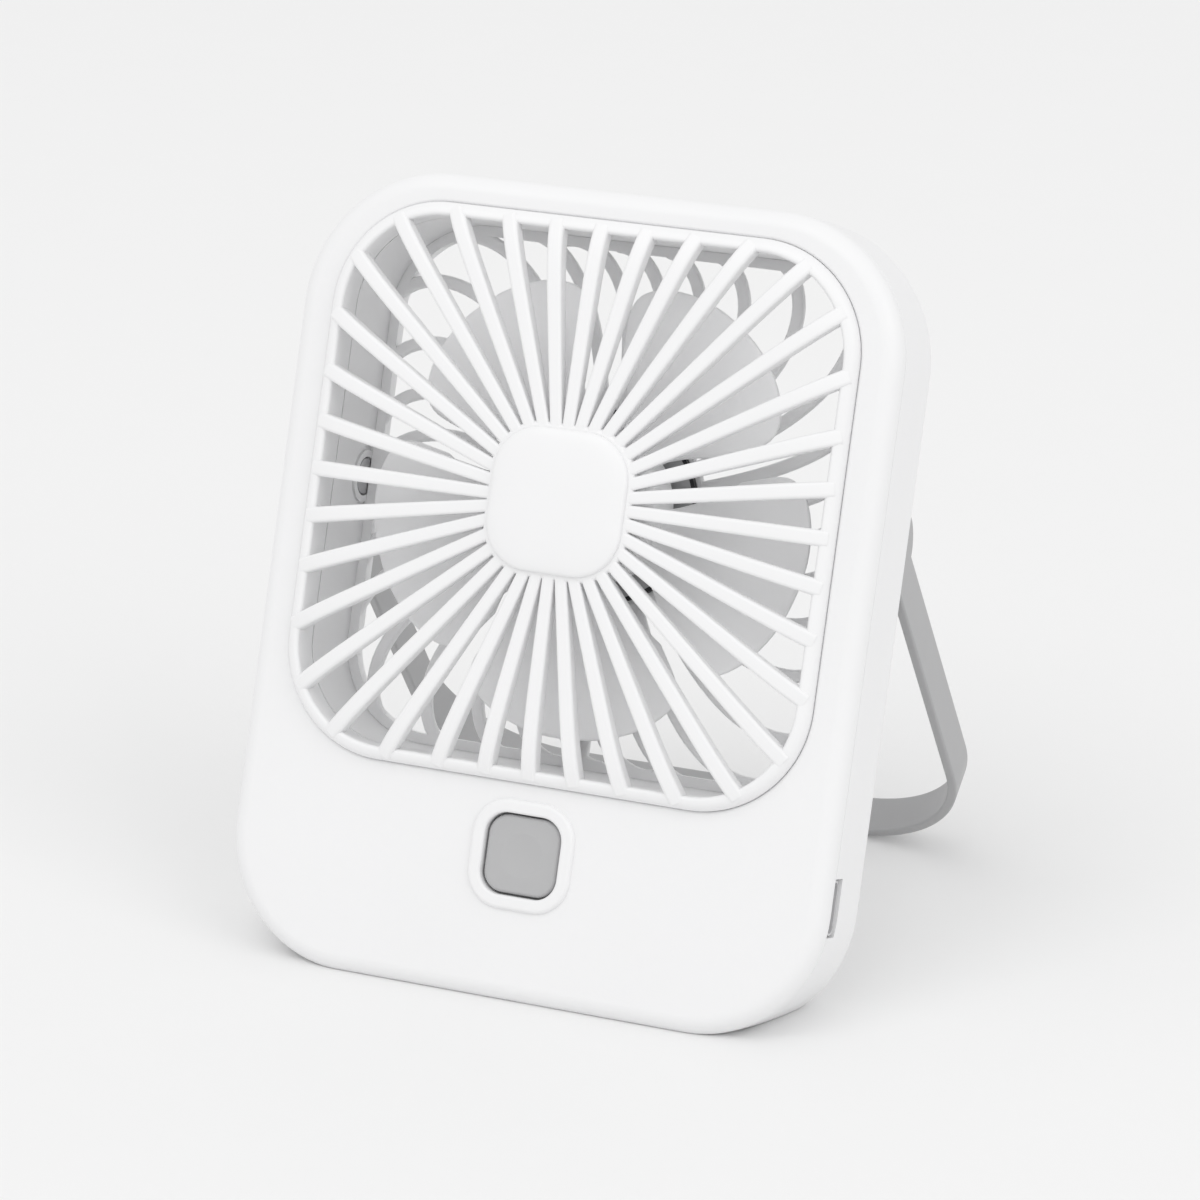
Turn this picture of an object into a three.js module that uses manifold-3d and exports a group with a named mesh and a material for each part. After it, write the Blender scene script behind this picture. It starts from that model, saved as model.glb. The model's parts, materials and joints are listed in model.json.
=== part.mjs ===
// Folding desk fan in a flat square housing: a rounded shell with a domed grille of straight ribs,
// a five-blade impeller on a small brushless motor, a battery, one button, a charging socket and
// a U-shaped stand that folds towards the back.
// Millimetres, +Z up. The fan stands leaning back on its planed base and on the stand's foot.
// In the housing's own frame X is to the right, Y is the depth behind the front panel and Z runs
// up the panel, with the fan's axis through X = 0, Z = 0.
import * as THREE from "three";
import { mergeVertices } from "three/addons/utils/BufferGeometryUtils.js";
import Module from "manifold-3d";

const wasm = await Module();
wasm.setup();

// ---- driving dimensions -------------------------------------------------------------------

const LEAN = THREE.MathUtils.degToRad(19.9); // the housing leans back
const GAP = 0.3; // between pieces that touch
const RUNNING = 0.08; // radial clearance of a pin that turns
const ARC_STEPS = 6; // straight pieces in a quarter turn of an outline
const ROUND_STEPS = 18; // straight pieces in a small circle
const FAR = 100; // well outside the housing, for the ends of a cut

const housing = {
  width: 104.6,
  top: 50.7,
  bottom: -81.5,
  depth: 20.1,
  wall: 1.8,
  topRadius: 23.5,
  bottomRadius: 22,
  frontRound: 2.5,
  backRound: 4,
  seam: 3.5, // depth of the seam between the two shells
  lipFront: 0.5, // front of the lip behind the panel's opening
  chamfer: 1, // round the panel's opening
  basePlaned: 1, // depth at which the planed base starts
};
const duct = { half: 43.6, radius: 16.4, wall: 1.4, lip: 0.8, lipReach: 1.6 };
const grille = {
  rim: 2.3, // from the duct's wall out to the grille's edge
  rimRound: 1,
  flange: 1.9,
  flangeThickness: 1.1,
  ribs: 36,
  ribWidth: 2,
  ribDepth: 2.2,
  ribIntoHub: 1.2,
  ribIntoRim: 0.8,
  rimRise: 2,
  domeRise: 4.9,
  shoulder: 0.4, // share of the dome's rise that is gained right at the rim
  shoulderPower: 10,
  hubHalf: 12.6,
  hubRadius: 8.4,
  hubThickness: 2.4,
  hubRound: 0.5,
};
const cap = { half: 11.7, radius: 7.8, thickness: 1.4, round: 0.6, pegRadius: 3 };
const rearGrille = {
  thickness: 1.4,
  frame: 1.7,
  ribs: 30,
  ribWidth: 2.2,
  plateRadius: 17,
  swirl: 18, // degrees from the plate to the frame
  spokeWidth: 4, // the broad spoke that covers the motor's lead
};
const impeller = {
  tipGap: 5.1, // to the duct
  cupGap: 1, // from the rotor's cup to the hub's wall
  hubWall: 1,
  hubFace: 1.5, // thickness of the hub's front
  hubRound: 1.5,
  blades: 5,
  firstBlade: 56,
  front: 5.2,
  back: 14.2,
  bladeSpan: 64,
  bladeThickness: 1.2,
  rootSpan: 0.62, // the blade's width at the hub, as a share of its span
  rootEnd: 0.5, // share of the blade's length at which the full span is reached
  tipStart: 0.55, // share of the blade's length at which its corners start to round
  tipNarrowing: 0.9,
  pitchEase: 0.35, // how much flatter the blade is at its tip than at its root
};
const motor = {
  shaftRadius: 0.75,
  shaftSlack: 0.05,
  bushRadius: 1.6,
  holderRadius: 2.6,
  coreRadius: 8.6,
  coreThickness: 3.4,
  coreHub: 4,
  poles: 6,
  poleWidth: 3.2,
  shoeWidth: 6,
  magnetThickness: 1,
  airGap: 0.4,
  cupWall: 0.5,
  baseRadius: 16,
  baseThickness: 1.2,
};
const button = {
  half: 6.35,
  radius: 3.4,
  height: -57.6,
  front: 0.1, // its face lies this far behind the panel
  thickness: 1.7,
  edge: 0.4,
  slack: 0.35,
  flange: 1.2,
  flangeThickness: 0.6,
  neckInset: 1,
  stemRadius: 2.2,
  stemGap: 0.15, // from the stem to the switch's plunger
};
const buttonRing = { width: 2.3, rise: 0.8, round: 0.72 };
const tact = { half: 3, height: 3.1, plungerRadius: 1.7, wellRadius: 1.9, plungerRise: 0.5 };
const usb = {
  height: -58,
  length: 9.5,
  mouth: 3.2,
  socketLength: 8.9,
  socketThickness: 2.8,
  socketDepth: 7.3,
  socketWall: 0.35,
  tongueWidth: 6.4,
  tongueThickness: 0.7,
  slotDepth: 5,
};
const board = {
  thickness: 1,
  depth: 7.2,
  left: -14,
  top: -48.2,
  bottom: -70,
  corner: 1.5,
  margin: 0.7, // to the inside of the shell
  postRoom: 1.8, // round the screw posts
};
const battery = { length: 60, height: 23, thickness: 7, middle: -2, corner: 2, edge: 0.8 };
const stand = {
  sideInset: 1.1, // from the housing's flat side
  thickness: 1.7,
  width: 7.2,
  edge: 0.4, // bevel along the ribbon's edges
  corner: 24,
  knuckleRadius: 7.2,
  bossRadius: 6, // of the solid boss behind the knuckle
  slotWall: 1.5, // plastic round the slots that the arms fold into
  pivotDepth: 16.2,
  pivotHeight: -0.5,
  openAngle: THREE.MathUtils.degToRad(54.7),
  closedAngle: THREE.MathUtils.degToRad(7.5), // the arms then lie in the slots, the foot behind the back
};
const pin = { radius: 2, headRadius: 3, headThickness: 1.5 };
const washer = { radius: 4.3, thickness: 0.7 };
const screw = {
  radius: 0.9,
  headRadius: 2.2,
  headThickness: 1.5,
  length: 8,
  seat: 14.3,
  floor: 2, // plastic under the head
  bossWall: 1.1,
  driveWidth: 0.7,
  driveLength: 2.6,
  driveDepth: 0.7,
};
const post = { radius: 2.3, front: 1, depth: 12 };
const lead = { radius: 0.6, holeSlack: 0.5, holeLength: 8 };

// ---- sizes worked out from them ------------------------------------------------------------

const halfWidth = housing.width / 2;
const standOuter = halfWidth - stand.sideInset;
const grilleHalf = duct.half + grille.rim;
const grilleRadius = duct.radius + grille.rim - 0.2;
const rearStart = housing.seam + GAP;
const insideBack = housing.depth - housing.wall;
const ductOuter = duct.half + duct.wall;
const ductOuterRadius = duct.radius + duct.wall;
const grilleBack = housing.depth - duct.lip - GAP; // back face of the rear grille
const rearGrilleFront = grilleBack - rearGrille.thickness;
const openingHalf = grilleHalf + GAP + 0.1;
const hubFaceBack = impeller.front + impeller.hubFace;
const slotOuter = standOuter + GAP;
const slotInner = standOuter - stand.thickness - GAP;
const slotFront = -stand.width / 2 - GAP; // in front of the pivot, along the closed arms
// From the pivot to the foot's outer face: the open stand's foot reaches the plane of the base.
const footAngle = stand.openAngle - LEAN;
const pivotAboveBase =
  (stand.pivotHeight - housing.bottom) * Math.cos(LEAN) +
  (housing.basePlaned - stand.pivotDepth) * Math.sin(LEAN);
const standReach =
  (pivotAboveBase - (stand.width / 2 - stand.edge) * Math.sin(footAngle)) / Math.cos(footAngle);
const hubFront = -grille.domeRise;
const hubBack = hubFront + grille.hubThickness;
const upperPost = (ductOuter - ductOuterRadius) + (ductOuterRadius + post.radius + GAP) * Math.SQRT1_2;
const posts = [
  { name: "upper_left", x: -upperPost, z: upperPost },
  { name: "upper_right", x: upperPost, z: upperPost },
  { name: "lower_left", x: -40, z: -65 },
  { name: "lower_right", x: 40, z: -65 },
];
const motorBaseFront = rearGrilleFront - GAP - motor.baseThickness;
const coreBack = motorBaseFront - 1;
const coreFront = coreBack - motor.coreThickness;
const magnetInner = motor.coreRadius + motor.airGap;
const magnetOuter = magnetInner + motor.magnetThickness;
const cupInner = magnetOuter + 0.1;
const cupOuter = cupInner + motor.cupWall;
const hubInner = cupOuter + impeller.cupGap;
const hubOuter = hubInner + impeller.hubWall;
const tipRadius = duct.half - impeller.tipGap;
const shaftHoleRadius = motor.shaftRadius + motor.shaftSlack;
const shaftSocket = hubFaceBack - 0.5; // bottom of the hole that the shaft sits in

const pivot = [stand.pivotDepth, stand.pivotHeight];

// ---- tools ---------------------------------------------------------------------------------

// A closed geometry as a solid that booleans can work on.
function solid(geometry) {
  const bare = geometry.index ? geometry.toNonIndexed() : geometry.clone();
  bare.deleteAttribute("normal");
  bare.deleteAttribute("uv");
  const merged = mergeVertices(bare, 1e-4);
  return new wasm.Manifold(
    new wasm.Mesh({
      numProp: 3,
      vertProperties: merged.attributes.position.array,
      triVerts: new Uint32Array(merged.index.array),
    }),
  );
}

function geometryOf(made) {
  const mesh = made.getMesh();
  const geometry = new THREE.BufferGeometry();
  geometry.setAttribute("position", new THREE.BufferAttribute(mesh.vertProperties, 3));
  geometry.setIndex(new THREE.BufferAttribute(mesh.triVerts, 1));
  geometry.computeVertexNormals();
  return geometry;
}

const join = (first, ...others) => others.reduce((sum, next) => sum.add(next), first);
const cut = (first, ...others) => others.reduce((rest, next) => rest.subtract(next), first);

// A rectangle with round corners, its upper and lower pair each with their own radius.
function roundedOutline(left, right, bottom, top, upperRadius, lowerRadius = upperRadius) {
  const shape = new THREE.Shape();
  shape.absarc(right - upperRadius, top - upperRadius, upperRadius, 0, Math.PI / 2);
  shape.absarc(left + upperRadius, top - upperRadius, upperRadius, Math.PI / 2, Math.PI);
  shape.absarc(left + lowerRadius, bottom + lowerRadius, lowerRadius, Math.PI, 1.5 * Math.PI);
  shape.absarc(right - lowerRadius, bottom + lowerRadius, lowerRadius, 1.5 * Math.PI, 2 * Math.PI);
  shape.closePath();
  return shape;
}

const squareOutline = (half, radius, z = 0) => roundedOutline(-half, half, z - half, z + half, radius);

// A front-view outline made solid from one depth to another, its edges rounded or bevelled inside it.
function slab(shape, front, back, bevel = 0, bevelSteps = 4, curveSegments = ARC_STEPS) {
  const geometry = new THREE.ExtrudeGeometry(shape, {
    depth: back - front - 2 * bevel,
    curveSegments,
    bevelEnabled: bevel > 0,
    bevelThickness: bevel,
    bevelSize: bevel,
    bevelOffset: -bevel,
    bevelSegments: bevelSteps,
  });
  geometry.rotateX(Math.PI / 2);
  geometry.translate(0, back - bevel, 0);
  return solid(geometry);
}

function block(x0, x1, y0, y1, z0, z1) {
  const geometry = new THREE.BoxGeometry(x1 - x0, y1 - y0, z1 - z0);
  geometry.translate((x0 + x1) / 2, (y0 + y1) / 2, (z0 + z1) / 2);
  return solid(geometry);
}

// A cylinder along the depth.
function rod(radius, front, back, x = 0, z = 0, steps = ROUND_STEPS) {
  const geometry = new THREE.CylinderGeometry(radius, radius, back - front, steps);
  geometry.translate(x, (front + back) / 2, z);
  return solid(geometry);
}

// A cylinder along X.
function crossRod(radius, x0, x1, y, z, steps = ROUND_STEPS) {
  const geometry = new THREE.CylinderGeometry(radius, radius, Math.abs(x1 - x0), steps);
  geometry.rotateZ(Math.PI / 2);
  geometry.translate((x0 + x1) / 2, y, z);
  return solid(geometry);
}

// A profile of [radius, depth] points turned about the fan's axis.
function turned(points, steps = 32) {
  return solid(
    new THREE.LatheGeometry(
      points.map(([r, y]) => new THREE.Vector2(r, y)),
      steps,
    ),
  );
}

// A ring with a rectangular section about the fan's axis.
const ring = (inner, outer, front, back, steps = 32) =>
  turned([[inner, front], [outer, front], [outer, back], [inner, back], [inner, front]], steps);

// A round lead along a smooth route.
function wire(radius, points, steps) {
  const section = new THREE.Shape().absarc(0, 0, radius, 0, 2 * Math.PI);
  const path = new THREE.CatmullRomCurve3(points.map((p) => new THREE.Vector3(...p)));
  return solid(
    new THREE.ExtrudeGeometry(section, { curveSegments: 6, steps, bevelEnabled: false, extrudePath: path }),
  );
}

// The side of the planed base that is cut away, in the housing's frame.
function belowBase() {
  const reach = 150;
  const geometry = new THREE.BoxGeometry(2 * reach, 2 * reach, reach);
  geometry.translate(0, 0, -reach / 2);
  geometry.rotateX(LEAN);
  geometry.translate(0, housing.basePlaned, housing.bottom);
  return solid(geometry);
}

// ---- housing -------------------------------------------------------------------------------

const housingOutline = (inset = 0) =>
  roundedOutline(
    -halfWidth + inset,
    halfWidth - inset,
    housing.bottom + inset,
    housing.top - inset,
    housing.topRadius - inset,
    housing.bottomRadius - inset,
  );

// The U that the stand's ribbon follows, seen from the front with the stand folded down.
function standOutline(extra = 0) {
  const outer = standOuter + extra;
  const inner = standOuter - stand.thickness - extra;
  const outerFoot = -standReach - extra;
  const innerFoot = -standReach + stand.thickness + extra;
  const centre = { x: standOuter - stand.corner, z: stand.corner - standReach };
  const shape = new THREE.Shape();
  shape.moveTo(outer, 0);
  shape.lineTo(outer, centre.z);
  shape.absarc(centre.x, centre.z, stand.corner + extra, 0, -Math.PI / 2, true);
  shape.lineTo(-centre.x, outerFoot);
  shape.absarc(-centre.x, centre.z, stand.corner + extra, -Math.PI / 2, -Math.PI, true);
  shape.lineTo(-outer, 0);
  shape.lineTo(-inner, 0);
  shape.lineTo(-inner, centre.z);
  shape.absarc(-centre.x, centre.z, stand.corner - stand.thickness - extra, -Math.PI, -Math.PI / 2);
  shape.lineTo(centre.x, innerFoot);
  shape.absarc(centre.x, centre.z, stand.corner - stand.thickness - extra, -Math.PI / 2, 0);
  shape.lineTo(inner, 0);
  shape.closePath();
  return shape;
}

// Moves a solid from the folded stand's own frame into the housing's, at the closed angle.
const closedStand = (made) =>
  made
    .rotate([THREE.MathUtils.radToDeg(stand.closedAngle), 0, 0])
    .translate(0, ...pivot);

function frontShell() {
  const lidBack = housing.seam;
  const lid = cut(
    slab(housingOutline(), 0, 3 * housing.seam, housing.frontRound, 4),
    block(-FAR, FAR, lidBack, FAR, -FAR, FAR),
    slab(housingOutline(housing.wall), housing.wall, housing.depth),
  );
  const bezelLip = slab(
    squareOutline(openingHalf + housing.wall, grilleRadius + housing.wall),
    housing.lipFront,
    housing.wall,
  );
  const ringHalf = button.half + button.slack + buttonRing.width;
  const ringRadius = button.radius + button.slack + buttonRing.width;
  const bead = slab(
    squareOutline(ringHalf, ringRadius, button.height),
    -buttonRing.rise,
    housing.wall,
    buttonRing.round,
    2,
  );
  const sockets = posts.map((p) =>
    cut(
      rod(post.radius, post.front, post.depth, p.x, p.z),
      rod(screw.radius + GAP, post.front + 3, post.depth + 1, p.x, p.z),
    ),
  );
  const opening = slab(squareOutline(openingHalf, grilleRadius + GAP), -5, housing.depth);
  const chamfer = slab(
    squareOutline(openingHalf + housing.chamfer, grilleRadius + housing.chamfer),
    -housing.chamfer,
    housing.chamfer,
    0.99 * housing.chamfer,
    1,
  );
  const buttonHole = slab(
    squareOutline(button.half + button.slack, button.radius + button.slack, button.height),
    -5,
    housing.depth,
  );
  return cut(join(lid, bezelLip, bead, ...sockets), opening, chamfer, buttonHole, belowBase());
}

function rearShell() {
  const outside = cut(
    slab(housingOutline(), -5, housing.depth, housing.backRound, 4),
    block(-FAR, FAR, -FAR, rearStart, -FAR, FAR),
  );
  const pivotBoss = (side) =>
    crossRod(stand.bossRadius, side * (duct.half + 0.2), side * (slotInner + 0.2), ...pivot);
  const slotWall = closedStand(
    slab(standOutline(GAP + stand.slotWall), slotFront - stand.slotWall, housing.depth),
  );
  const baseWall = belowBase().translate(0, 0, housing.wall / Math.cos(LEAN));
  const knuckleWall = (side) =>
    crossRod(
      stand.knuckleRadius + GAP + stand.slotWall,
      side * (slotInner - stand.slotWall),
      side * (slotOuter + 1),
      ...pivot,
    );
  const bosses = posts.map((p) =>
    rod(screw.headRadius + GAP + screw.bossWall, screw.seat - screw.floor, housing.depth, p.x, p.z),
  );
  const cavity = cut(
    slab(housingOutline(housing.wall), 0, insideBack),
    slab(squareOutline(ductOuter, ductOuterRadius), -1, housing.depth + 1),
    slotWall,
    baseWall,
    pivotBoss(1),
    pivotBoss(-1),
    knuckleWall(1),
    knuckleWall(-1),
    ...bosses,
  );
  const knuckleCut = (side) =>
    crossRod(stand.knuckleRadius + GAP, side * slotInner, side * slotOuter, ...pivot);
  const knuckleWay = (side) =>
    block(
      ...(side > 0 ? [slotInner, slotOuter] : [-slotOuter, -slotInner]),
      stand.pivotDepth,
      housing.depth + 5,
      stand.pivotHeight - stand.knuckleRadius - GAP,
      stand.pivotHeight + stand.knuckleRadius + GAP,
    );
  const pinHole = (side) =>
    join(
      crossRod(pin.radius + RUNNING, side * (duct.half - 2), side * (slotInner + 1), ...pivot),
      crossRod(
        pin.headRadius + GAP,
        side * (duct.half - 2),
        side * (duct.half + pin.headThickness + GAP),
        ...pivot,
      ),
      crossRod(
        washer.radius + GAP,
        side * (slotInner - washer.thickness),
        side * (slotInner + 1),
        ...pivot,
      ),
    );
  const screwHole = (p) =>
    join(
      rod(screw.radius + GAP, rearStart, housing.depth + 1, p.x, p.z),
      rod(screw.headRadius + GAP, screw.seat, housing.depth + 1, p.x, p.z),
    );
  const usbCut = block(
    halfWidth - usb.slotDepth,
    halfWidth + 1,
    rearStart - 1,
    rearStart + usb.mouth,
    usb.height - usb.length / 2,
    usb.height + usb.length / 2,
  );
  const leadHole = rod(lead.radius + lead.holeSlack, 0, 1, 0, 0, 12)
    .rotate([90, 0, 0])
    .scale([1, 1, lead.holeLength])
    .translate(0, rearGrilleFront - lead.radius - GAP, -duct.half - lead.holeLength / 2);
  return cut(
    outside,
    cavity,
    slab(squareOutline(duct.half, duct.radius), 0, housing.depth - duct.lip),
    slab(squareOutline(duct.half - duct.lipReach, duct.radius - duct.lipReach), 0, housing.depth + 1),
    closedStand(slab(standOutline(GAP), slotFront, housing.depth + 5)),
    knuckleCut(1),
    knuckleCut(-1),
    knuckleWay(1),
    knuckleWay(-1),
    pinHole(1),
    pinHole(-1),
    ...posts.map(screwHole),
    ...posts.map((p) => rod(post.radius + GAP, 0, post.depth + GAP, p.x, p.z)),
    usbCut,
    leadHole,
    belowBase(),
  );
}

// ---- grilles -------------------------------------------------------------------------------

// How far a square outline with round corners lies from its middle, along a given direction.
function outlineRadius(half, radius, angle) {
  const c = Math.abs(Math.cos(angle));
  const s = Math.abs(Math.sin(angle));
  const straight = half / Math.max(c, s);
  const inner = half - radius;
  if (straight * Math.min(c, s) <= inner) return straight;
  const along = inner * (c + s);
  return along + Math.sqrt(along * along - 2 * inner * inner + radius * radius);
}

// How far the domed ribs stand in front of the panel, from 0 at the rim to 1 at the hub.
const domeHeight = (share) =>
  grille.rimRise +
  (grille.domeRise - grille.rimRise) *
    (grille.shoulder * (1 - Math.pow(1 - share, grille.shoulderPower)) + (1 - grille.shoulder) * share);

function frontRib(angle) {
  const inner = outlineRadius(grille.hubHalf, grille.hubRadius, angle) - grille.ribIntoHub;
  const outer = outlineRadius(duct.half, duct.radius, angle) + grille.ribIntoRim;
  const steps = 4;
  const top = [];
  for (let i = 0; i <= steps; i++) {
    const share = Math.pow(i / steps, 1.6);
    top.push([outer + (inner - outer) * share, domeHeight(share)]);
  }
  const bottom = top.map(([r, rise]) => [r, rise - grille.ribDepth]).reverse();
  const shape = new THREE.Shape([...top, ...bottom].map(([r, rise]) => new THREE.Vector2(r, -rise)));
  const geometry = new THREE.ExtrudeGeometry(shape, { depth: grille.ribWidth, bevelEnabled: false });
  geometry.translate(0, 0, -grille.ribWidth / 2);
  geometry.rotateY(-angle);
  return solid(geometry);
}

function frontGrille() {
  const frame = cut(
    join(
      slab(squareOutline(grilleHalf, grilleRadius), -grille.rimRise, housing.seam, grille.rimRound, 2),
      slab(
        squareOutline(grilleHalf + grille.flange, grilleRadius + grille.flange),
        housing.wall + GAP,
        housing.wall + GAP + grille.flangeThickness,
      ),
    ),
    slab(squareOutline(duct.half, duct.radius), -5, housing.depth),
    block(-FAR, FAR, housing.wall + GAP + grille.flangeThickness, FAR, -FAR, FAR),
    ...posts.map((p) => rod(post.radius + GAP, housing.lipFront, housing.depth, p.x, p.z)),
  );
  const hub = slab(squareOutline(grille.hubHalf, grille.hubRadius), hubFront, hubBack, grille.hubRound, 2);
  const ribs = [];
  for (let i = 0; i < grille.ribs; i++) ribs.push(frontRib((i * 2 * Math.PI) / grille.ribs));
  return cut(join(frame, hub, ...ribs), rod(cap.pegRadius + GAP, hubFront - 1, hubBack + 1));
}

function grilleCap() {
  return join(
    slab(squareOutline(cap.half, cap.radius), hubFront - GAP - cap.thickness, hubFront - GAP, cap.round, 2),
    rod(cap.pegRadius, hubFront - 1, hubBack),
  );
}

function rearGrillePiece() {
  const half = duct.half - GAP;
  const radius = duct.radius - GAP;
  const frame = cut(
    slab(squareOutline(half, radius), rearGrilleFront, grilleBack),
    slab(squareOutline(half - rearGrille.frame, radius - rearGrille.frame), 0, FAR),
  );
  const ribs = [];
  const swirl = THREE.MathUtils.degToRad(rearGrille.swirl);
  const steps = 6;
  for (let i = 0; i < rearGrille.ribs; i++) {
    const start = ((i + 0.5) * 2 * Math.PI) / rearGrille.ribs;
    const end = start + swirl;
    const inner = rearGrille.plateRadius - 1;
    const outer = outlineRadius(half - rearGrille.frame / 2, radius - rearGrille.frame / 2, end);
    const left = [];
    const right = [];
    for (let k = 0; k <= steps; k++) {
      const share = k / steps;
      const r = inner + (outer - inner) * share;
      const angle = start + swirl * share * share;
      const middle = new THREE.Vector2(r * Math.cos(angle), r * Math.sin(angle));
      const turn = (2 * swirl * share) / (outer - inner);
      const heading = angle + Math.atan(r * turn);
      const side = new THREE.Vector2(-Math.sin(heading), Math.cos(heading)).multiplyScalar(
        rearGrille.ribWidth / 2,
      );
      left.push(middle.clone().add(side));
      right.push(middle.clone().sub(side));
    }
    ribs.push(slab(new THREE.Shape([...left, ...right.reverse()]), rearGrilleFront, grilleBack));
  }
  const plate = rod(rearGrille.plateRadius, rearGrilleFront, grilleBack, 0, 0, 40);
  const spokeHalf = rearGrille.spokeWidth / 2;
  const spoke = block(-spokeHalf, spokeHalf, rearGrilleFront, grilleBack, -half, 0);
  return join(frame, plate, spoke, ...ribs);
}

// ---- impeller and motor --------------------------------------------------------------------

// One blade: a block bent into a broad, pitched blade with round outer corners.
function blade(middleAngle) {
  const geometry = new THREE.BoxGeometry(1, 1, 1, 6, 7, 1);
  const position = geometry.attributes.position;
  const root = hubOuter - 0.6 * impeller.hubWall;
  const halfSpan = THREE.MathUtils.degToRad(impeller.bladeSpan / 2);
  const rise = (impeller.back - impeller.front - impeller.bladeThickness) / 2;
  const middleDepth = (impeller.front + impeller.back) / 2;
  for (let i = 0; i < position.count; i++) {
    const chord = 2 * position.getX(i);
    const share = position.getY(i) + 0.5;
    const face = position.getZ(i);
    const towardsTip = Math.max(0, (share - impeller.tipStart) / (1 - impeller.tipStart));
    const round = Math.sqrt(1 - impeller.tipNarrowing * Math.pow(towardsTip, 5));
    const narrowRoot =
      impeller.rootSpan + (1 - impeller.rootSpan) * Math.min(1, share / impeller.rootEnd);
    const r = root + (tipRadius - root) * share;
    const angle = middleAngle + chord * halfSpan * round * narrowRoot;
    const pitch = 1 - impeller.pitchEase * share;
    position.setXYZ(
      i,
      r * Math.cos(angle),
      middleDepth + rise * pitch * chord * round * narrowRoot + face * impeller.bladeThickness,
      r * Math.sin(angle),
    );
  }
  return solid(geometry);
}

function impellerPiece() {
  const { front, back, hubRound: round } = impeller;
  const steps = 4;
  const profile = [[0, front]];
  for (let i = 0; i <= steps; i++) {
    const a = ((i / steps) * Math.PI) / 2;
    profile.push([hubOuter - round + round * Math.sin(a), front + round - round * Math.cos(a)]);
  }
  profile.push([hubOuter, back]);
  profile.push([hubInner, back]);
  profile.push([hubInner, hubFaceBack]);
  profile.push([0, hubFaceBack]);
  const blades = [];
  for (let i = 0; i < impeller.blades; i++) {
    const degrees = impeller.firstBlade + (i * 360) / impeller.blades;
    blades.push(blade(THREE.MathUtils.degToRad(degrees)));
  }
  const inside = rod(hubInner, hubFaceBack, back + 1, 0, 0, 40);
  const shaftHole = rod(shaftHoleRadius, shaftSocket, back, 0, 0, 16);
  return cut(join(turned(profile), ...blades), inside, shaftHole);
}

const cupFront = hubFaceBack + GAP;
const cupBack = coreBack;

const rotorCup = () =>
  turned([
    [shaftHoleRadius, cupFront],
    [cupOuter, cupFront],
    [cupOuter, cupBack],
    [cupInner, cupBack],
    [cupInner, cupFront + motor.cupWall],
    [shaftHoleRadius, cupFront + motor.cupWall],
    [shaftHoleRadius, cupFront],
  ]);

const magnetRing = () => ring(magnetInner, magnetOuter, coreFront - 0.5, cupBack - 0.2);

const shaftFront = shaftSocket + 0.1;
const shaft = () => rod(motor.shaftRadius, shaftFront, motorBaseFront - 0.2, 0, 0, 16);

const bushFront = coreFront - 0.4;
const bush = () => ring(shaftHoleRadius, motor.bushRadius, bushFront, motorBaseFront - 0.2, 20);

// The motor's base plate with the round holder that the bush and the core sit on.
function motorBase() {
  const plate = rod(motor.baseRadius, motorBaseFront, rearGrilleFront - GAP, 0, 0, 40);
  const holder = rod(motor.holderRadius, bushFront, motorBaseFront + 0.5, 0, 0, 24);
  const bore = rod(motor.bushRadius + 0.1, bushFront - 1, motorBaseFront, 0, 0, 24);
  const edge = -motor.baseRadius;
  const leadNotch = block(-1, 1, motorBaseFront - 1, rearGrilleFront, edge - 1, edge + 2);
  return cut(join(plate, holder), bore, leadNotch);
}

// The wound core: its poles round a hub.
function statorCore() {
  const hub = rod(motor.coreHub, coreFront, coreBack, 0, 0, 24);
  const poles = [];
  const armHalf = motor.poleWidth / 2;
  const shoeHalf = motor.shoeWidth / 2;
  for (let i = 0; i < motor.poles; i++) {
    const turn = (i * 360) / motor.poles;
    const armEnd = motor.coreRadius - 0.7;
    const arm = block(3, armEnd, coreFront + 0.4, coreBack - 0.4, -armHalf, armHalf);
    poles.push(arm.rotate([0, turn, 0]));
    const shoe = ring(motor.coreRadius - 1, motor.coreRadius, coreFront, coreBack, 48).intersect(
      block(3, FAR, 0, housing.depth, -shoeHalf, shoeHalf),
    );
    poles.push(shoe.rotate([0, turn, 0]));
  }
  return cut(join(hub, ...poles), rod(motor.holderRadius + 0.15, coreFront - 1, coreBack + 1, 0, 0, 24));
}

// ---- electrics -----------------------------------------------------------------------------

const boardRight = halfWidth - housing.wall - board.margin;

function mainBoard() {
  const outline = roundedOutline(board.left, boardRight, board.bottom, board.top, board.corner);
  const round = posts.map((p) => rod(post.radius + board.postRoom, 0, housing.depth, p.x, p.z));
  const sheet = slab(outline, board.depth, board.depth + board.thickness, 0, 1, 3);
  return cut(sheet.intersect(slab(housingOutline(housing.wall + board.margin), 0, housing.depth)), ...round);
}

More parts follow.
